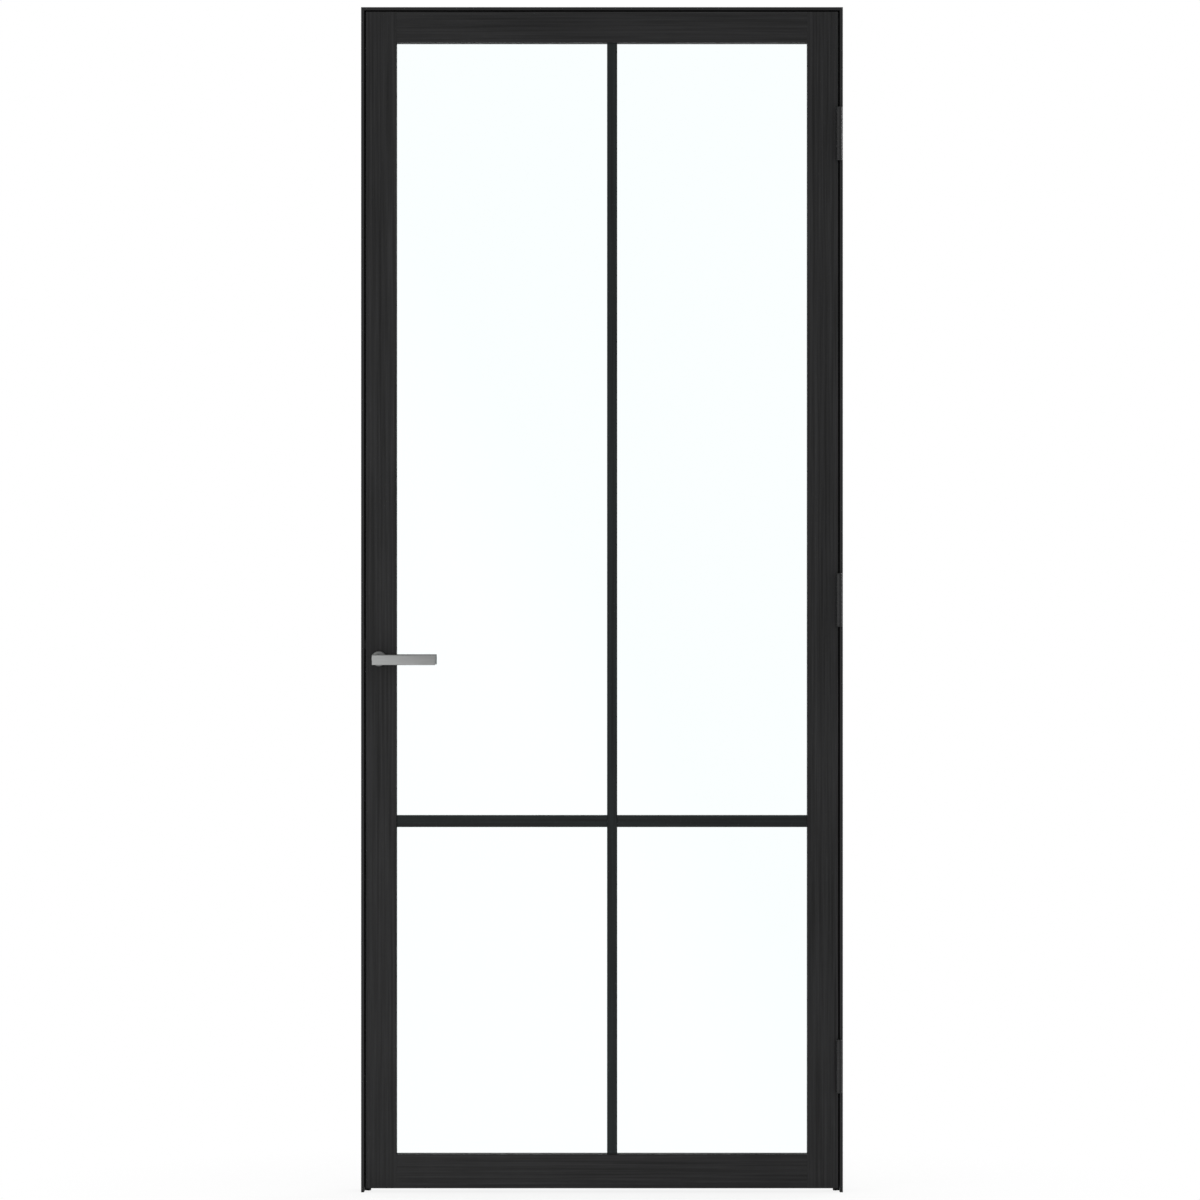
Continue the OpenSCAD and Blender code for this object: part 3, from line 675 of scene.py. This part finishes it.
def cross_prism(name, arm, width, depth):
    """Upright prism with a plus-shaped outline, for cutting the recess of a screw."""
    quarter = [(arm, -width), (arm, width), (width, width)]
    outline = []
    for _ in range(4):
        outline += quarter
        quarter = [(-y, x) for x, y in quarter]
    made = bmesh.new()
    low, high = ([made.verts.new((x, y, z)) for x, y in outline] for z in (-depth, depth))
    made.faces.new(low)
    made.faces.new(high)
    for i in range(len(outline)):
        made.faces.new((low[i - 1], low[i], high[i], high[i - 1]))
    return solid_piece(name, made)


def bar_of_steel(name, low, high, long_round, end_round):
    """Straight bar along X with softly rounded long edges and crisper ends."""
    made = box_form(low, high)
    lengthwise = [e for e in made.edges if abs(e.verts[0].co.x - e.verts[1].co.x) > SAME_POINT]
    bmesh.ops.bevel(
        made, geom=lengthwise, offset=long_round, segments=GRIP_STEPS, profile=0.5, affect="EDGES"
    )
    ends = [e for e in made.edges if any(abs(f.normal.x) > 0.9 for f in e.link_faces)]
    bmesh.ops.bevel(
        made, geom=ends, offset=end_round, segments=GRIP_END_STEPS, profile=0.5, affect="EDGES"
    )
    return solid_piece(name, made)


def combine(piece, other, operation):
    """Joins another solid to the piece, or cuts it out, and removes the other."""
    change = piece.modifiers.new("shape", "BOOLEAN")
    change.operation = operation
    change.solver = "EXACT"
    change.object = other
    settle(piece)
    discard(other)


# Geometry Nodes


def new_tree(name, inputs):
    """New tree with its named inputs. Returns its nodes and the sockets that give the inputs."""
    tree = bpy.data.node_groups.new(name, "GeometryNodeTree")
    for label, kind in {"Geometry": "Geometry", **inputs, "Finish": "Material"}.items():
        tree.interface.new_socket(label, in_out="INPUT", socket_type="NodeSocket" + kind)
    tree.interface.new_socket("Geometry", in_out="OUTPUT", socket_type="NodeSocketGeometry")
    nodes = Nodes(tree)
    return nodes, nodes.add("NodeGroupInput").outputs


def close_tree(nodes, given, geometry):
    """Ends the tree with real geometry in the given finish, and returns the tree."""
    real = nodes.add("GeometryNodeRealizeInstances", {"Geometry": geometry})
    values = {"Geometry": real.outputs["Geometry"], "Material": given["Finish"]}
    painted = nodes.add("GeometryNodeSetMaterial", values)
    nodes.add("NodeGroupOutput", {"Geometry": painted.outputs["Geometry"]})
    return nodes.tree


def on_points(nodes, points, form, turn):
    """Sets the form on each point, with the given turn."""
    values = {"Points": points, "Instance": form, "Rotation": turn}
    return nodes.add("GeometryNodeInstanceOnPoints", values).outputs["Instances"]


def sweep(nodes, path, section):
    """Solid with the given section along the path."""
    values = {"Curve": path, "Profile Curve": section, "Fill Caps": True}
    return nodes.add("GeometryNodeCurveToMesh", values).outputs["Mesh"]


def ring(nodes, radius, steps):
    """Round section."""
    values = {"Resolution": steps, "Radius": radius}
    return nodes.add("GeometryNodeCurvePrimitiveCircle", values).outputs["Curve"]


def grow(piece, tree, values):
    """Runs a tree on the piece with the named values and keeps the plain mesh."""
    change = piece.modifiers.new("growth", "NODES")
    change.node_group = tree
    for item in tree.interface.items_tree:
        if item.item_type == "SOCKET" and item.in_out == "INPUT" and item.name in values:
            change[item.identifier] = values[item.name]
    settle(piece)


def screw_tree():
    """Sets one screw on each point, head along the given turn, each with its recess at its own angle."""
    nodes, given = new_tree("screw row", {"Screw": "Object", "Turn": "Vector"})
    form = nodes.add("GeometryNodeObjectInfo", {"Object": given["Screw"]})
    turn = nodes.add("FunctionNodeEulerToRotation", {0: given["Turn"]})
    placed = on_points(nodes, given["Geometry"], form.outputs["Geometry"], turn.outputs[0])
    values = {0: (0.0, 0.0, 0.0), 1: (0.0, 0.0, 2.0 * math.pi), "Seed": 7}
    chance = nodes.add("FunctionNodeRandomValue", values, data_type="FLOAT_VECTOR")
    spin = nodes.add("FunctionNodeEulerToRotation", {0: chance.outputs[0]})
    values = {"Instances": placed, "Rotation": spin.outputs[0]}
    spun = nodes.add("GeometryNodeRotateInstances", values)
    return close_tree(nodes, given, spun.outputs["Instances"])


def seal_tree():
    """Sweeps the seal's foot and bulb along each line."""
    inputs = {"Foot width": "Float", "Foot height": "Float", "Bulb radius": "Float"}
    nodes, given = new_tree("seal strip", inputs)
    path = nodes.add("GeometryNodeMeshToCurve", {"Mesh": given["Geometry"]})
    values = {"Curve": path.outputs["Curve"], "Normal": (0.0, 1.0, 0.0)}
    upright = nodes.add("GeometryNodeSetCurveNormal", values, mode="FREE")
    values = {"Width": given["Foot height"], "Height": given["Foot width"]}
    foot = nodes.add("GeometryNodeCurvePrimitiveQuadrilateral", values).outputs["Curve"]
    bulb = ring(nodes, given["Bulb radius"], SEAL_STEPS)
    section = nodes.add("GeometryNodeJoinGeometry")
    for shape, size, share in ((foot, "Foot height", -0.5), (bulb, "Bulb radius", -1.0)):
        offset = nodes.add("ShaderNodeCombineXYZ", {"X": times(nodes, given[size], share)})
        values = {"Geometry": shape, "Translation": offset.outputs["Vector"]}
        moved = nodes.add("GeometryNodeTransform", values)
        nodes.fill(section, {"Geometry": moved.outputs["Geometry"]})
    strips = sweep(nodes, upright.outputs["Curve"], section.outputs["Geometry"])
    return close_tree(nodes, given, strips)


def pin_tree():
    """Sets small pin heads at an even gap along each line."""
    nodes, given = new_tree("bead pins", {"Gap": "Float", "Radius": "Float", "Head": "Float"})
    path = nodes.add("GeometryNodeMeshToCurve", {"Mesh": given["Geometry"]})
    values = {"Curve": path.outputs["Curve"], "Length": given["Gap"]}
    spaced = nodes.add("GeometryNodeResampleCurve", values, mode="LENGTH")
    values = {"Vertices": PIN_STEPS, "Radius": given["Radius"], "Depth": given["Head"]}
    head = nodes.add("GeometryNodeMeshCylinder", values)
    facing = (QUARTER_TURN, 0.0, 0.0)
    pins = on_points(nodes, spaced.outputs["Curve"], head.outputs["Mesh"], facing)
    return close_tree(nodes, given, pins)


def coil_tree():
    """Winds wire into a spring along X from each point."""
    inputs = {"Turns": "Float", "Radius": "Float", "Height": "Float", "Wire": "Float"}
    nodes, given = new_tree("coil spring", inputs)
    values = {
        "Resolution": SPRING_STEPS,
        "Rotations": given["Turns"],
        "Start Radius": given["Radius"],
        "End Radius": given["Radius"],
        "Height": given["Height"],
    }
    coil = nodes.add("GeometryNodeCurveSpiral", values)
    wound = sweep(nodes, coil.outputs["Curve"], ring(nodes, given["Wire"], WIRE_STEPS))
    springs = on_points(nodes, given["Geometry"], wound, (0.0, QUARTER_TURN, 0.0))
    return close_tree(nodes, given, springs)


def screw_form(head, height, shank, size):
    """One countersunk screw, head's top at Z = 0, with a cross recess."""
    profile = [
        (0.0, -size),
        (shank * SCREW_TIP, -size),
        (shank, -size + shank),
        (shank, -height),
        (head, -SCREW_BRIM),
        (head - SCREW_CHAMFER, 0.0),
        (0.0, 0.0),
    ]
    screw = turned("screw form", profile, Matrix.Identity(4), SCREW_STEPS)
    recess = cross_prism("recess", head * RECESS_ARM, head * RECESS_HALF_WIDTH, height * RECESS_DEPTH)
    combine(screw, recess, "DIFFERENCE")
    return screw


def screw_row(name, points, turn, sizes, body, slot, node):
    """Black screws at the given points, in place of a CAD node."""
    tree = bpy.data.node_groups.get("screw row") or screw_tree()
    form = screw_form(*sizes)
    piece = plain_piece(name, points)
    grow(piece, tree, {"Screw": form, "Turn": turn, "Finish": finish("hinge black")})
    smooth(piece, ROUND_ANGLE)
    discard(form)
    seat(piece, body, slot, "hinge black", node)


# Operators, one for each piece or group of like pieces


class DOOR_OT_frame(bpy.types.Operator):
    """Jambs, head and stop bars of flat steel"""

    bl_idname = "door.frame"
    bl_label = "Steel frame"

    def execute(self, context):
        width = context.scene.door_frame.edge_round
        look = ("frame", "black_steel", "frame coating")
        for node in ("frame_hinge_jamb", "frame_lock_jamb", "frame_head"):
            dress(node, "_bar", width, *look)
        for node in ("stop_hinge_side", "stop_lock_side", "stop_head"):
            dress(node, "_bar", width * STOP_EDGE_SHARE, *look, steps=3)
        return {"FINISHED"}


class DOOR_OT_seals(bpy.types.Operator):
    """Rubber seals on the stop bars"""

    bl_idname = "door.seals"
    bl_label = "Seals"

    def execute(self, context):
        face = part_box("stop_head")[0].y
        nodes = {"seal_hinge_side": Z_AXIS, "seal_lock_side": Z_AXIS, "seal_head": X_AXIS}
        points, lines = [], []
        for node, axis in nodes.items():
            low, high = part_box(node)
            start = middle(node)
            start.y = face
            stop = start.copy()
            start[axis], stop[axis] = low[axis], high[axis]
            lines.append((len(points), len(points) + 1))
            points += [start, stop]
        low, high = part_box("seal_hinge_side")
        piece = plain_piece("seal_strips", points, lines)
        values = {
            "Foot width": high.x - low.x,
            "Foot height": SEAL_FOOT,
            "Bulb radius": (face - low.y) / 2.0,
            "Finish": finish("seal rubber"),
        }
        grow(piece, seal_tree(), values)
        smooth(piece, ROUND_ANGLE)
        seat(piece, "frame", "seal_rubber", "seal rubber", *nodes)
        return {"FINISHED"}


class DOOR_OT_hinges(bpy.types.Operator):
    """Three butt hinges with pins, tips and bearing rings"""

    bl_idname = "door.hinges"
    bl_label = "Hinges"

    def execute(self, context):
        for place in ("top", "middle", "bottom"):
            for part, body in (("frame_plate", "frame"), ("leaf_plate", "leaf"), ("pin", "frame")):
                dress(f"hinge_{place}_{part}", "_black", HINGE_EDGE, body, "hinge_black", "hinge black")
        dress("hinge_tips", "_black", HINGE_EDGE, "frame", "hinge_black", "hinge black")
        carry_over("hinge black", "hinge_bearings")
        return {"FINISHED"}


class DOOR_OT_screws(bpy.types.Operator):
    """Rows of countersunk screws in the hinges, the strike plate and the face plate"""

    bl_idname = "door.screws"
    bl_label = "Screws"

    def execute(self, context):
        places = self.hinge_places()
        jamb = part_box("hinge_frame_screws")[0].x
        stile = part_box("hinge_leaf_screws")[1].x
        self.hinge_screws("frame", jamb, places, -QUARTER_TURN, FRAME_SCREW_LENGTH)
        self.hinge_screws("leaf", stile, places, QUARTER_TURN, STILE_SCREW_LENGTH)
        self.plate_screws("strike_screws", "frame", 1, FRAME_SCREW_LENGTH)
        self.plate_screws("lock_screws", "leaf", -1, LOCK_SCREW_LENGTH)
        return {"FINISHED"}

    def hinge_places(self):
        """Depth and height of the four screws in a plate of each hinge, in two rows."""
        places = []
        for hinge in ("top", "middle", "bottom"):
            low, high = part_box(f"hinge_{hinge}_frame_plate")
            centre, size = (low.z + high.z) / 2.0, high.z - low.z
            for i, share in enumerate(HINGE_SCREW_SHARES):
                places.append((HINGE_SCREW_ROWS[i % 2], centre + share * size))
        return places

    def hinge_screws(self, body, face, places, turn, size):
        """Screws of the hinge plates on one body."""
        points = [(face, y, z) for y, z in places]
        sizes = (*HINGE_SCREW, size)
        name = f"hinge_{body}_screw"
        screw_row(name + "_row", points, (0.0, turn, 0.0), sizes, body, "hinge_black", name + "s")

    def plate_screws(self, node, body, side, size):
        """One screw at each end of a plate, heads towards high or low X."""
        low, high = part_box(node)
        centre = middle(node)
        half = (high.z - low.z) / 2.0 - PLATE_SCREW[0]
        face = high.x if side > 0 else low.x
        points = [(face, centre.y, centre.z + end * half) for end in (-1, 1)]
        turn = (0.0, side * QUARTER_TURN, 0.0)
        screw_row(node[:-1] + "_row", points, turn, (*PLATE_SCREW, size), body, "plate_black", node)


class DOOR_OT_leaf(bpy.types.Operator):
    """Stiles, rails and corner dowels of the leaf"""

    bl_idname = "door.leaf"
    bl_label = "Leaf timber"

    def execute(self, context):
        width = context.scene.door_leaf.edge_round
        for node in ("hinge_stile", "lock_stile"):
            dress(node, "_timber", width, "leaf", "leaf_stile", "upright lacquer")
        for node in ("top_rail", "bottom_rail"):
            dress(node, "_timber", width, "leaf", "leaf_rail", "level lacquer")
        carry_over("bare beech", "corner_dowels")
        return {"FINISHED"}


class DOOR_OT_glazing(bpy.types.Operator):
    """Glass pane, tapes, setting blocks and pinned beads"""

    bl_idname = "door.glazing"
    bl_label = "Glazing"

    def execute(self, context):
        leaf, glass = context.scene.door_leaf, context.scene.door_glass
        pane = rounded_node("glass_pane", "glass_sheet", glass.arris, steps=1)
        seat(pane, "leaf", "clear_glass", "clear glass", "glass_pane")
        carry_over("foam tape", "glazing_tape_front", "glazing_tape_back", "bar_tape")
        carry_over("block plastic", "setting_blocks")
        grains = {"left": "upright", "right": "upright", "top": "level", "bottom": "level"}
        for side, grain in grains.items():
            node = "glazing_bead_" + side
            dress(node, "_timber", leaf.edge_round, "leaf", "leaf_bead", grain + " lacquer")
        self.pins(leaf.pin_gap)
        return {"FINISHED"}

    def pins(self, gap):
        """Pins along the middle of each bead."""
        low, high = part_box("glazing_bead_left")[0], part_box("glazing_bead_right")[1]
        face = high.y - PIN_SINK
        left, right = low.x + PIN_INSET, high.x - PIN_INSET
        bottom, top = low.z + PIN_INSET, high.z - PIN_INSET
        places = []
        for x in (left, right):
            places += [(x, bottom + PIN_END), (x, top - PIN_END)]
        for z in (bottom, top):
            places += [(left + PIN_END, z), (right - PIN_END, z)]
        lines = [(i, i + 1) for i in range(0, len(places), 2)]
        piece = plain_piece("bead_pins", [(x, face, z) for x, z in places], lines)
        values = {"Gap": gap, "Radius": PIN_RADIUS, "Head": PIN_HEAD, "Finish": finish("hinge black")}
        grow(piece, pin_tree(), values)
        seat(piece, "leaf", "plate_black", "hinge black")


class DOOR_OT_bars(bpy.types.Operator):
    """Glazing bars bonded to both faces of the glass"""

    bl_idname = "door.bars"
    bl_label = "Glazing bars"

    def execute(self, context):
        width = context.scene.door_leaf.edge_round
        for face in ("front", "back"):
            for part, grain in (("upright", "upright"), ("left", "level"), ("right", "level")):
                node = f"{face}_bar_{part}"
                dress(node, "_timber", width, "leaf", "bar_black", grain + " bar lacquer")
        return {"FINISHED"}


class DOOR_OT_levers(bpy.types.Operator):
    """A lever and a rose on each face"""

    bl_idname = "door.levers"
    bl_label = "Levers and roses"

    def execute(self, context):
        metal = context.scene.door_metal
        for face, sign in (("front", -1.0), ("back", 1.0)):
            self.lever(face, sign, metal)
            self.rose(face, sign, metal.turn_steps)
        carry_over("bush plastic", "lever_bushes")
        carry_over("zinc plate", "bush_screws", "spindle", "lever_grub_screws")
        return {"FINISHED"}

    def outward(self, sign, depth):
        """Place on the spindle's axis at the given Y, with Z pointing away from the leaf."""
        axis = middle("spindle")
        turn = Matrix.Rotation(-sign * QUARTER_TURN, 4, "X")
        return Matrix.Translation((axis.x, depth, axis.z)) @ turn

    def lever(self, face, sign, metal):
        """Straight grip on a round neck, with the spindle's socket and the grub screw's hole."""
        node = face + "_lever"
        low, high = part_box(node)
        inner, outer = (high.y, low.y) if sign < 0 else (low.y, high.y)
        flat = outer - sign * GRIP_THICKNESS
        near, far = sorted((flat, outer))
        corners = (low.x, near, low.z), (high.x, far, high.z)
        grip = bar_of_steel(node + "_steel", *corners, metal.grip_round, metal.end_round)
        reach = abs(flat - inner) + metal.grip_round
        combine(grip, self.neck(sign, inner, reach, metal.turn_steps), "UNION")
        combine(grip, self.socket(sign, inner), "DIFFERENCE")
        combine(grip, self.grub_hole(sign), "DIFFERENCE")
        smooth(grip, GRIP_ANGLE)
        seat(grip, "handle", "stainless_brushed", "brushed stainless", node)

    def neck(self, sign, inner, reach, steps):
        """Round neck from its inner end into the grip."""
        profile = [
            (0.0, 0.0),
            (NECK_RADIUS - NECK_CHAMFER, 0.0),
            (NECK_RADIUS, NECK_CHAMFER),
            (NECK_RADIUS, reach),
            (0.0, reach),
        ]
        return turned("neck", profile, self.outward(sign, inner), steps)

    def socket(self, sign, inner):
        """Square cutter for the spindle, from before the neck's end to just past the spindle's end."""
        axis = middle("spindle")
        tip = abs(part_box("spindle")[0].y) + SOCKET_ROOM
        near, far = sorted((inner - sign * SOCKET_LEAD, sign * tip))
        low = (axis.x - SOCKET_HALF, near, axis.z - SOCKET_HALF)
        high = (axis.x + SOCKET_HALF, far, axis.z + SOCKET_HALF)
        return solid_piece("socket", box_form(low, high))

    def grub_hole(self, sign):
        """Round cutter for the grub screw, from below up to the spindle's axis."""
        axis = middle("spindle")
        low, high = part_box("lever_grub_screws")
        depth = (low.y if sign < 0 else high.y) - sign * GRUB_RADIUS
        profile = [
            (0.0, 0.0),
            (GRUB_HOLE_RADIUS, 0.0),
            (GRUB_HOLE_RADIUS, GRUB_HOLE_DEPTH),
            (0.0, GRUB_HOLE_DEPTH),
        ]
        place = Matrix.Translation((axis.x, depth, axis.z - GRUB_HOLE_DEPTH))
        return turned("grub hole", profile, place, GRUB_HOLE_STEPS)

    def rose(self, face, sign, steps):
        """Turned cap with a soft rim round the neck."""
        node = face + "_rose"
        low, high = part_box(node)
        radius, height = (high.x - low.x) / 2.0, high.y - low.y
        base = high.y if sign < 0 else low.y
        cup = radius - ROSE_SIDE
        rim_centre = (radius - ROSE_RIM, height - ROSE_RIM)
        profile = [
            (cup, 0.0),
            (radius - ROSE_FOOT, 0.0),
            (radius, ROSE_FOOT),
            *arc(rim_centre, ROSE_RIM, 0.0, 90.0, ROSE_RIM_STEPS),
            (ROSE_BORE + ROSE_MOUTH, height),
            (ROSE_BORE, height - ROSE_MOUTH),
            (ROSE_BORE, height - ROSE_TOP),
            (cup, height - ROSE_TOP),
        ]
        piece = turned(node + "_steel", profile, self.outward(sign, base), steps)
        # The rose's darker steel is painted shade from the grip in front of it.
        seat(piece, "leaf", "stainless_brushed", "turned stainless", node)


class DOOR_OT_lock(bpy.types.Operator):
    """Strike plate, face plate, latch bolt with its spring, and the lock case"""

    bl_idname = "door.lock"
    bl_label = "Lock"

    def execute(self, context):
        dress("strike_plate", "_steel", PLATE_EDGE, "frame", "plate_black", "hinge black")
        dress("lock_face_plate", "_steel", PLATE_EDGE, "leaf", "plate_black", "hinge black")
        dress("latch_bolt", "_steel", BOLT_EDGE, "latch", "plate_black", "hinge black", steps=3)
        self.spring()
        carry_over("zinc plate", "lock_case", "lock_cover", "lock_follower")
        return {"FINISHED"}

    def spring(self):
        """Coil round the bolt's tail, built at one fixed length, though the real one shortens as the bolt
        is drawn.
        """
        low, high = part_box("latch_spring")
        centre = middle("latch_spring")
        size = high.x - low.x
        piece = plain_piece("latch_spring_coil", [(low.x + SPRING_WIRE, centre.y, centre.z)])
        values = {
            "Turns": SPRING_TURNS,
            "Radius": (high.z - low.z) / 2.0 - SPRING_WIRE,
            "Height": size - 2.0 * SPRING_WIRE,
            "Wire": SPRING_WIRE,
            "Finish": finish("latch steel"),
        }
        grow(piece, coil_tree(), values)
        piece.data.shade_smooth()
        seat(piece, "leaf", "latch_steel", "latch steel", "latch_spring")
        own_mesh(piece)


class DOOR_OT_stage(bpy.types.Operator):
    """Pale floor, even room light, soft lamps and the camera"""

    bl_idname = "door.stage"
    bl_label = "Stage"

    def execute(self, context):
        settings = context.scene.door_stage
        self.room(context.scene, settings.sky)
        self.floor(settings.floor)
        self.card(settings.card)
        for name, place, target, size, share in LAMPS:
            self.lamp(name, place, target, size, settings.key * share)
        self.camera(context.scene, settings)
        context.scene.view_settings.view_transform = "Standard"
        return {"FINISHED"}

    def seen(self, nodes):
        """1 for rays from the camera, or by way of gloss or glass, else 0."""
        path = nodes.add("ShaderNodeLightPath").outputs
        value = path["Is Camera Ray"]
        for other in ("Is Glossy Ray", "Is Transmission Ray"):
            both = nodes.add("ShaderNodeMath", {0: value, 1: path[other]}, operation="MAXIMUM")
            value = both.outputs[0]
        return value

    def room(self, scene, sky):
        """Even white light, which is seen as plain white."""
        world = bpy.data.worlds.new("room")
        world.use_nodes = True
        scene.world = world
        nodes = Nodes(world.node_tree)
        strength = spread(nodes, self.seen(nodes), sky, 1.0, start=0.0, end=1.0)
        values = {"Color": (1.0, 1.0, 1.0, 1.0), "Strength": strength}
        nodes.fill(nodes.tree.nodes["Background"], values)

    def floor(self, colour):
        """Pale floor that keeps the door's shadow and fades to white away from it."""
        half = FLOOR_HALF
        corners = [(-half, -half, 0.0), (half, -half, 0.0), (half, half, 0.0), (-half, half, 0.0)]
        piece = plain_piece("floor", corners, faces=[(0, 1, 2, 3)])
        material, nodes, shader, coords = new_finish("pale floor")
        nodes.fill(shader, {"Base Color": (*colour, 1.0), "Roughness": 0.9, "Specular IOR Level": 0.0})
        glow = nodes.add("ShaderNodeEmission", {"Strength": 1.0})
        away = nodes.add("ShaderNodeVectorMath", {0: coords}, operation="LENGTH").outputs["Value"]
        white = spread(nodes, away, FLOOR_WHITE, 1.0, *FLOOR_FADE)
        share = times(nodes, self.seen(nodes), white)
        blend = nodes.add("ShaderNodeMixShader", {0: share, 1: shader.outputs[0], 2: glow.outputs[0]})
        nodes.fill(nodes.tree.nodes["Material Output"], {"Surface": blend.outputs[0]})
        piece.data.materials.append(material)

    def card(self, bright):
        """Curved white card, seen only as a soft reflection, brighter towards the lower left."""
        bend_centre = (CARD_FAR, CARD_LIFT + CARD_BEND)
        profile = [
            (CARD_NEAR, CARD_LIFT),
            *arc(bend_centre, CARD_BEND, 270.0, 180.0, CARD_BEND_STEPS),
            (CARD_FAR - CARD_BEND, CARD_TOP),
        ]
        points = [(x, y, z) for y, z in profile for x in (-CARD_HALF, CARD_HALF)]
        faces = [(2 * i, 2 * i + 1, 2 * i + 3, 2 * i + 2) for i in range(len(profile) - 1)]
        piece = plain_piece("card", points, faces=faces)
        material, nodes, shader, coords = new_finish("white card")
        nodes.tree.nodes.remove(shader)
        rise = nodes.add("ShaderNodeVectorMath", {0: coords, 1: CARD_RISE}, operation="DOT_PRODUCT")
        strength = spread(nodes, rise.outputs["Value"], 1.0, bright, CARD_PLAIN, CARD_FULL)
        glow = nodes.add("ShaderNodeEmission", {"Strength": strength})
        nodes.fill(nodes.tree.nodes["Material Output"], {"Surface": glow.outputs[0]})
        piece.data.materials.append(material)
        piece.visible_camera = False
        piece.visible_diffuse = False
        piece.visible_transmission = False
        piece.visible_shadow = False

    def lamp(self, name, place, target, size, power):
        """Soft square lamp that shines on the target and isn't seen itself."""
        data = bpy.data.lights.new(name, "AREA")
        data.energy = power
        data.size = size
        lamp = new_piece(name, data)
        lamp.location = place
        lamp.rotation_euler = (Vector(target) - Vector(place)).to_track_quat("-Z", "Y").to_euler()
        lamp.visible_camera = False
        lamp.visible_transmission = False

    def camera(self, scene, settings):
        """Camera straight before the leaf, far enough away for the wanted width."""
        data = bpy.data.cameras.new("camera")
        data.lens = settings.lens
        data.sensor_width = SENSOR_WIDTH
        data.clip_end = CAMERA_REACH
        camera = new_piece("camera", data)
        distance = settings.view_width * settings.lens / SENSOR_WIDTH
        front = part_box("lock_stile")[0].y
        camera.location = (CAMERA_SIDE, front - distance, middle("lock_stile").z)
        camera.rotation_euler = (QUARTER_TURN, 0.0, 0.0)
        scene.camera = camera


class DOOR_PT_panel(bpy.types.Panel):
    """Lists the settings and the steps that build the door"""

    bl_idname = "DOOR_PT_panel"
    bl_label = "Glazed interior door"
    bl_space_type = "VIEW_3D"
    bl_region_type = "UI"
    bl_category = "Door"

    def draw(self, context):
        for group, kind in GROUPS:
            box = self.layout.box()
            box.label(text=kind.__doc__)
            settings = getattr(context.scene, group)
            for name in kind.__annotations__:
                box.prop(settings, name)
        for step in STEPS:
            self.layout.operator(step.bl_idname)


GROUPS = [
    ("door_leaf", LeafSettings),
    ("door_glass", GlassSettings),
    ("door_frame", FrameSettings),
    ("door_metal", MetalSettings),
    ("door_stage", StageSettings),
]
STEPS = [
    DOOR_OT_frame,
    DOOR_OT_seals,
    DOOR_OT_hinges,
    DOOR_OT_screws,
    DOOR_OT_leaf,
    DOOR_OT_glazing,
    DOOR_OT_bars,
    DOOR_OT_levers,
    DOOR_OT_lock,
    DOOR_OT_stage,
]


def register():
    for group, kind in GROUPS:
        bpy.utils.register_class(kind)
        setattr(bpy.types.Scene, group, PointerProperty(type=kind))
    for kind in [*STEPS, DOOR_PT_panel]:
        bpy.utils.register_class(kind)


def unregister():
    for kind in reversed([*STEPS, DOOR_PT_panel]):
        bpy.utils.unregister_class(kind)
    for group, kind in reversed(GROUPS):
        delattr(bpy.types.Scene, group)
        bpy.utils.unregister_class(kind)


def main():
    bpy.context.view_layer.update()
    register()
    bpy.ops.door.frame()
    bpy.ops.door.seals()
    bpy.ops.door.hinges()
    bpy.ops.door.screws()
    bpy.ops.door.leaf()
    bpy.ops.door.glazing()
    bpy.ops.door.bars()
    bpy.ops.door.levers()
    bpy.ops.door.lock()
    bpy.ops.door.stage()


if __name__ == "__main__":
    main()
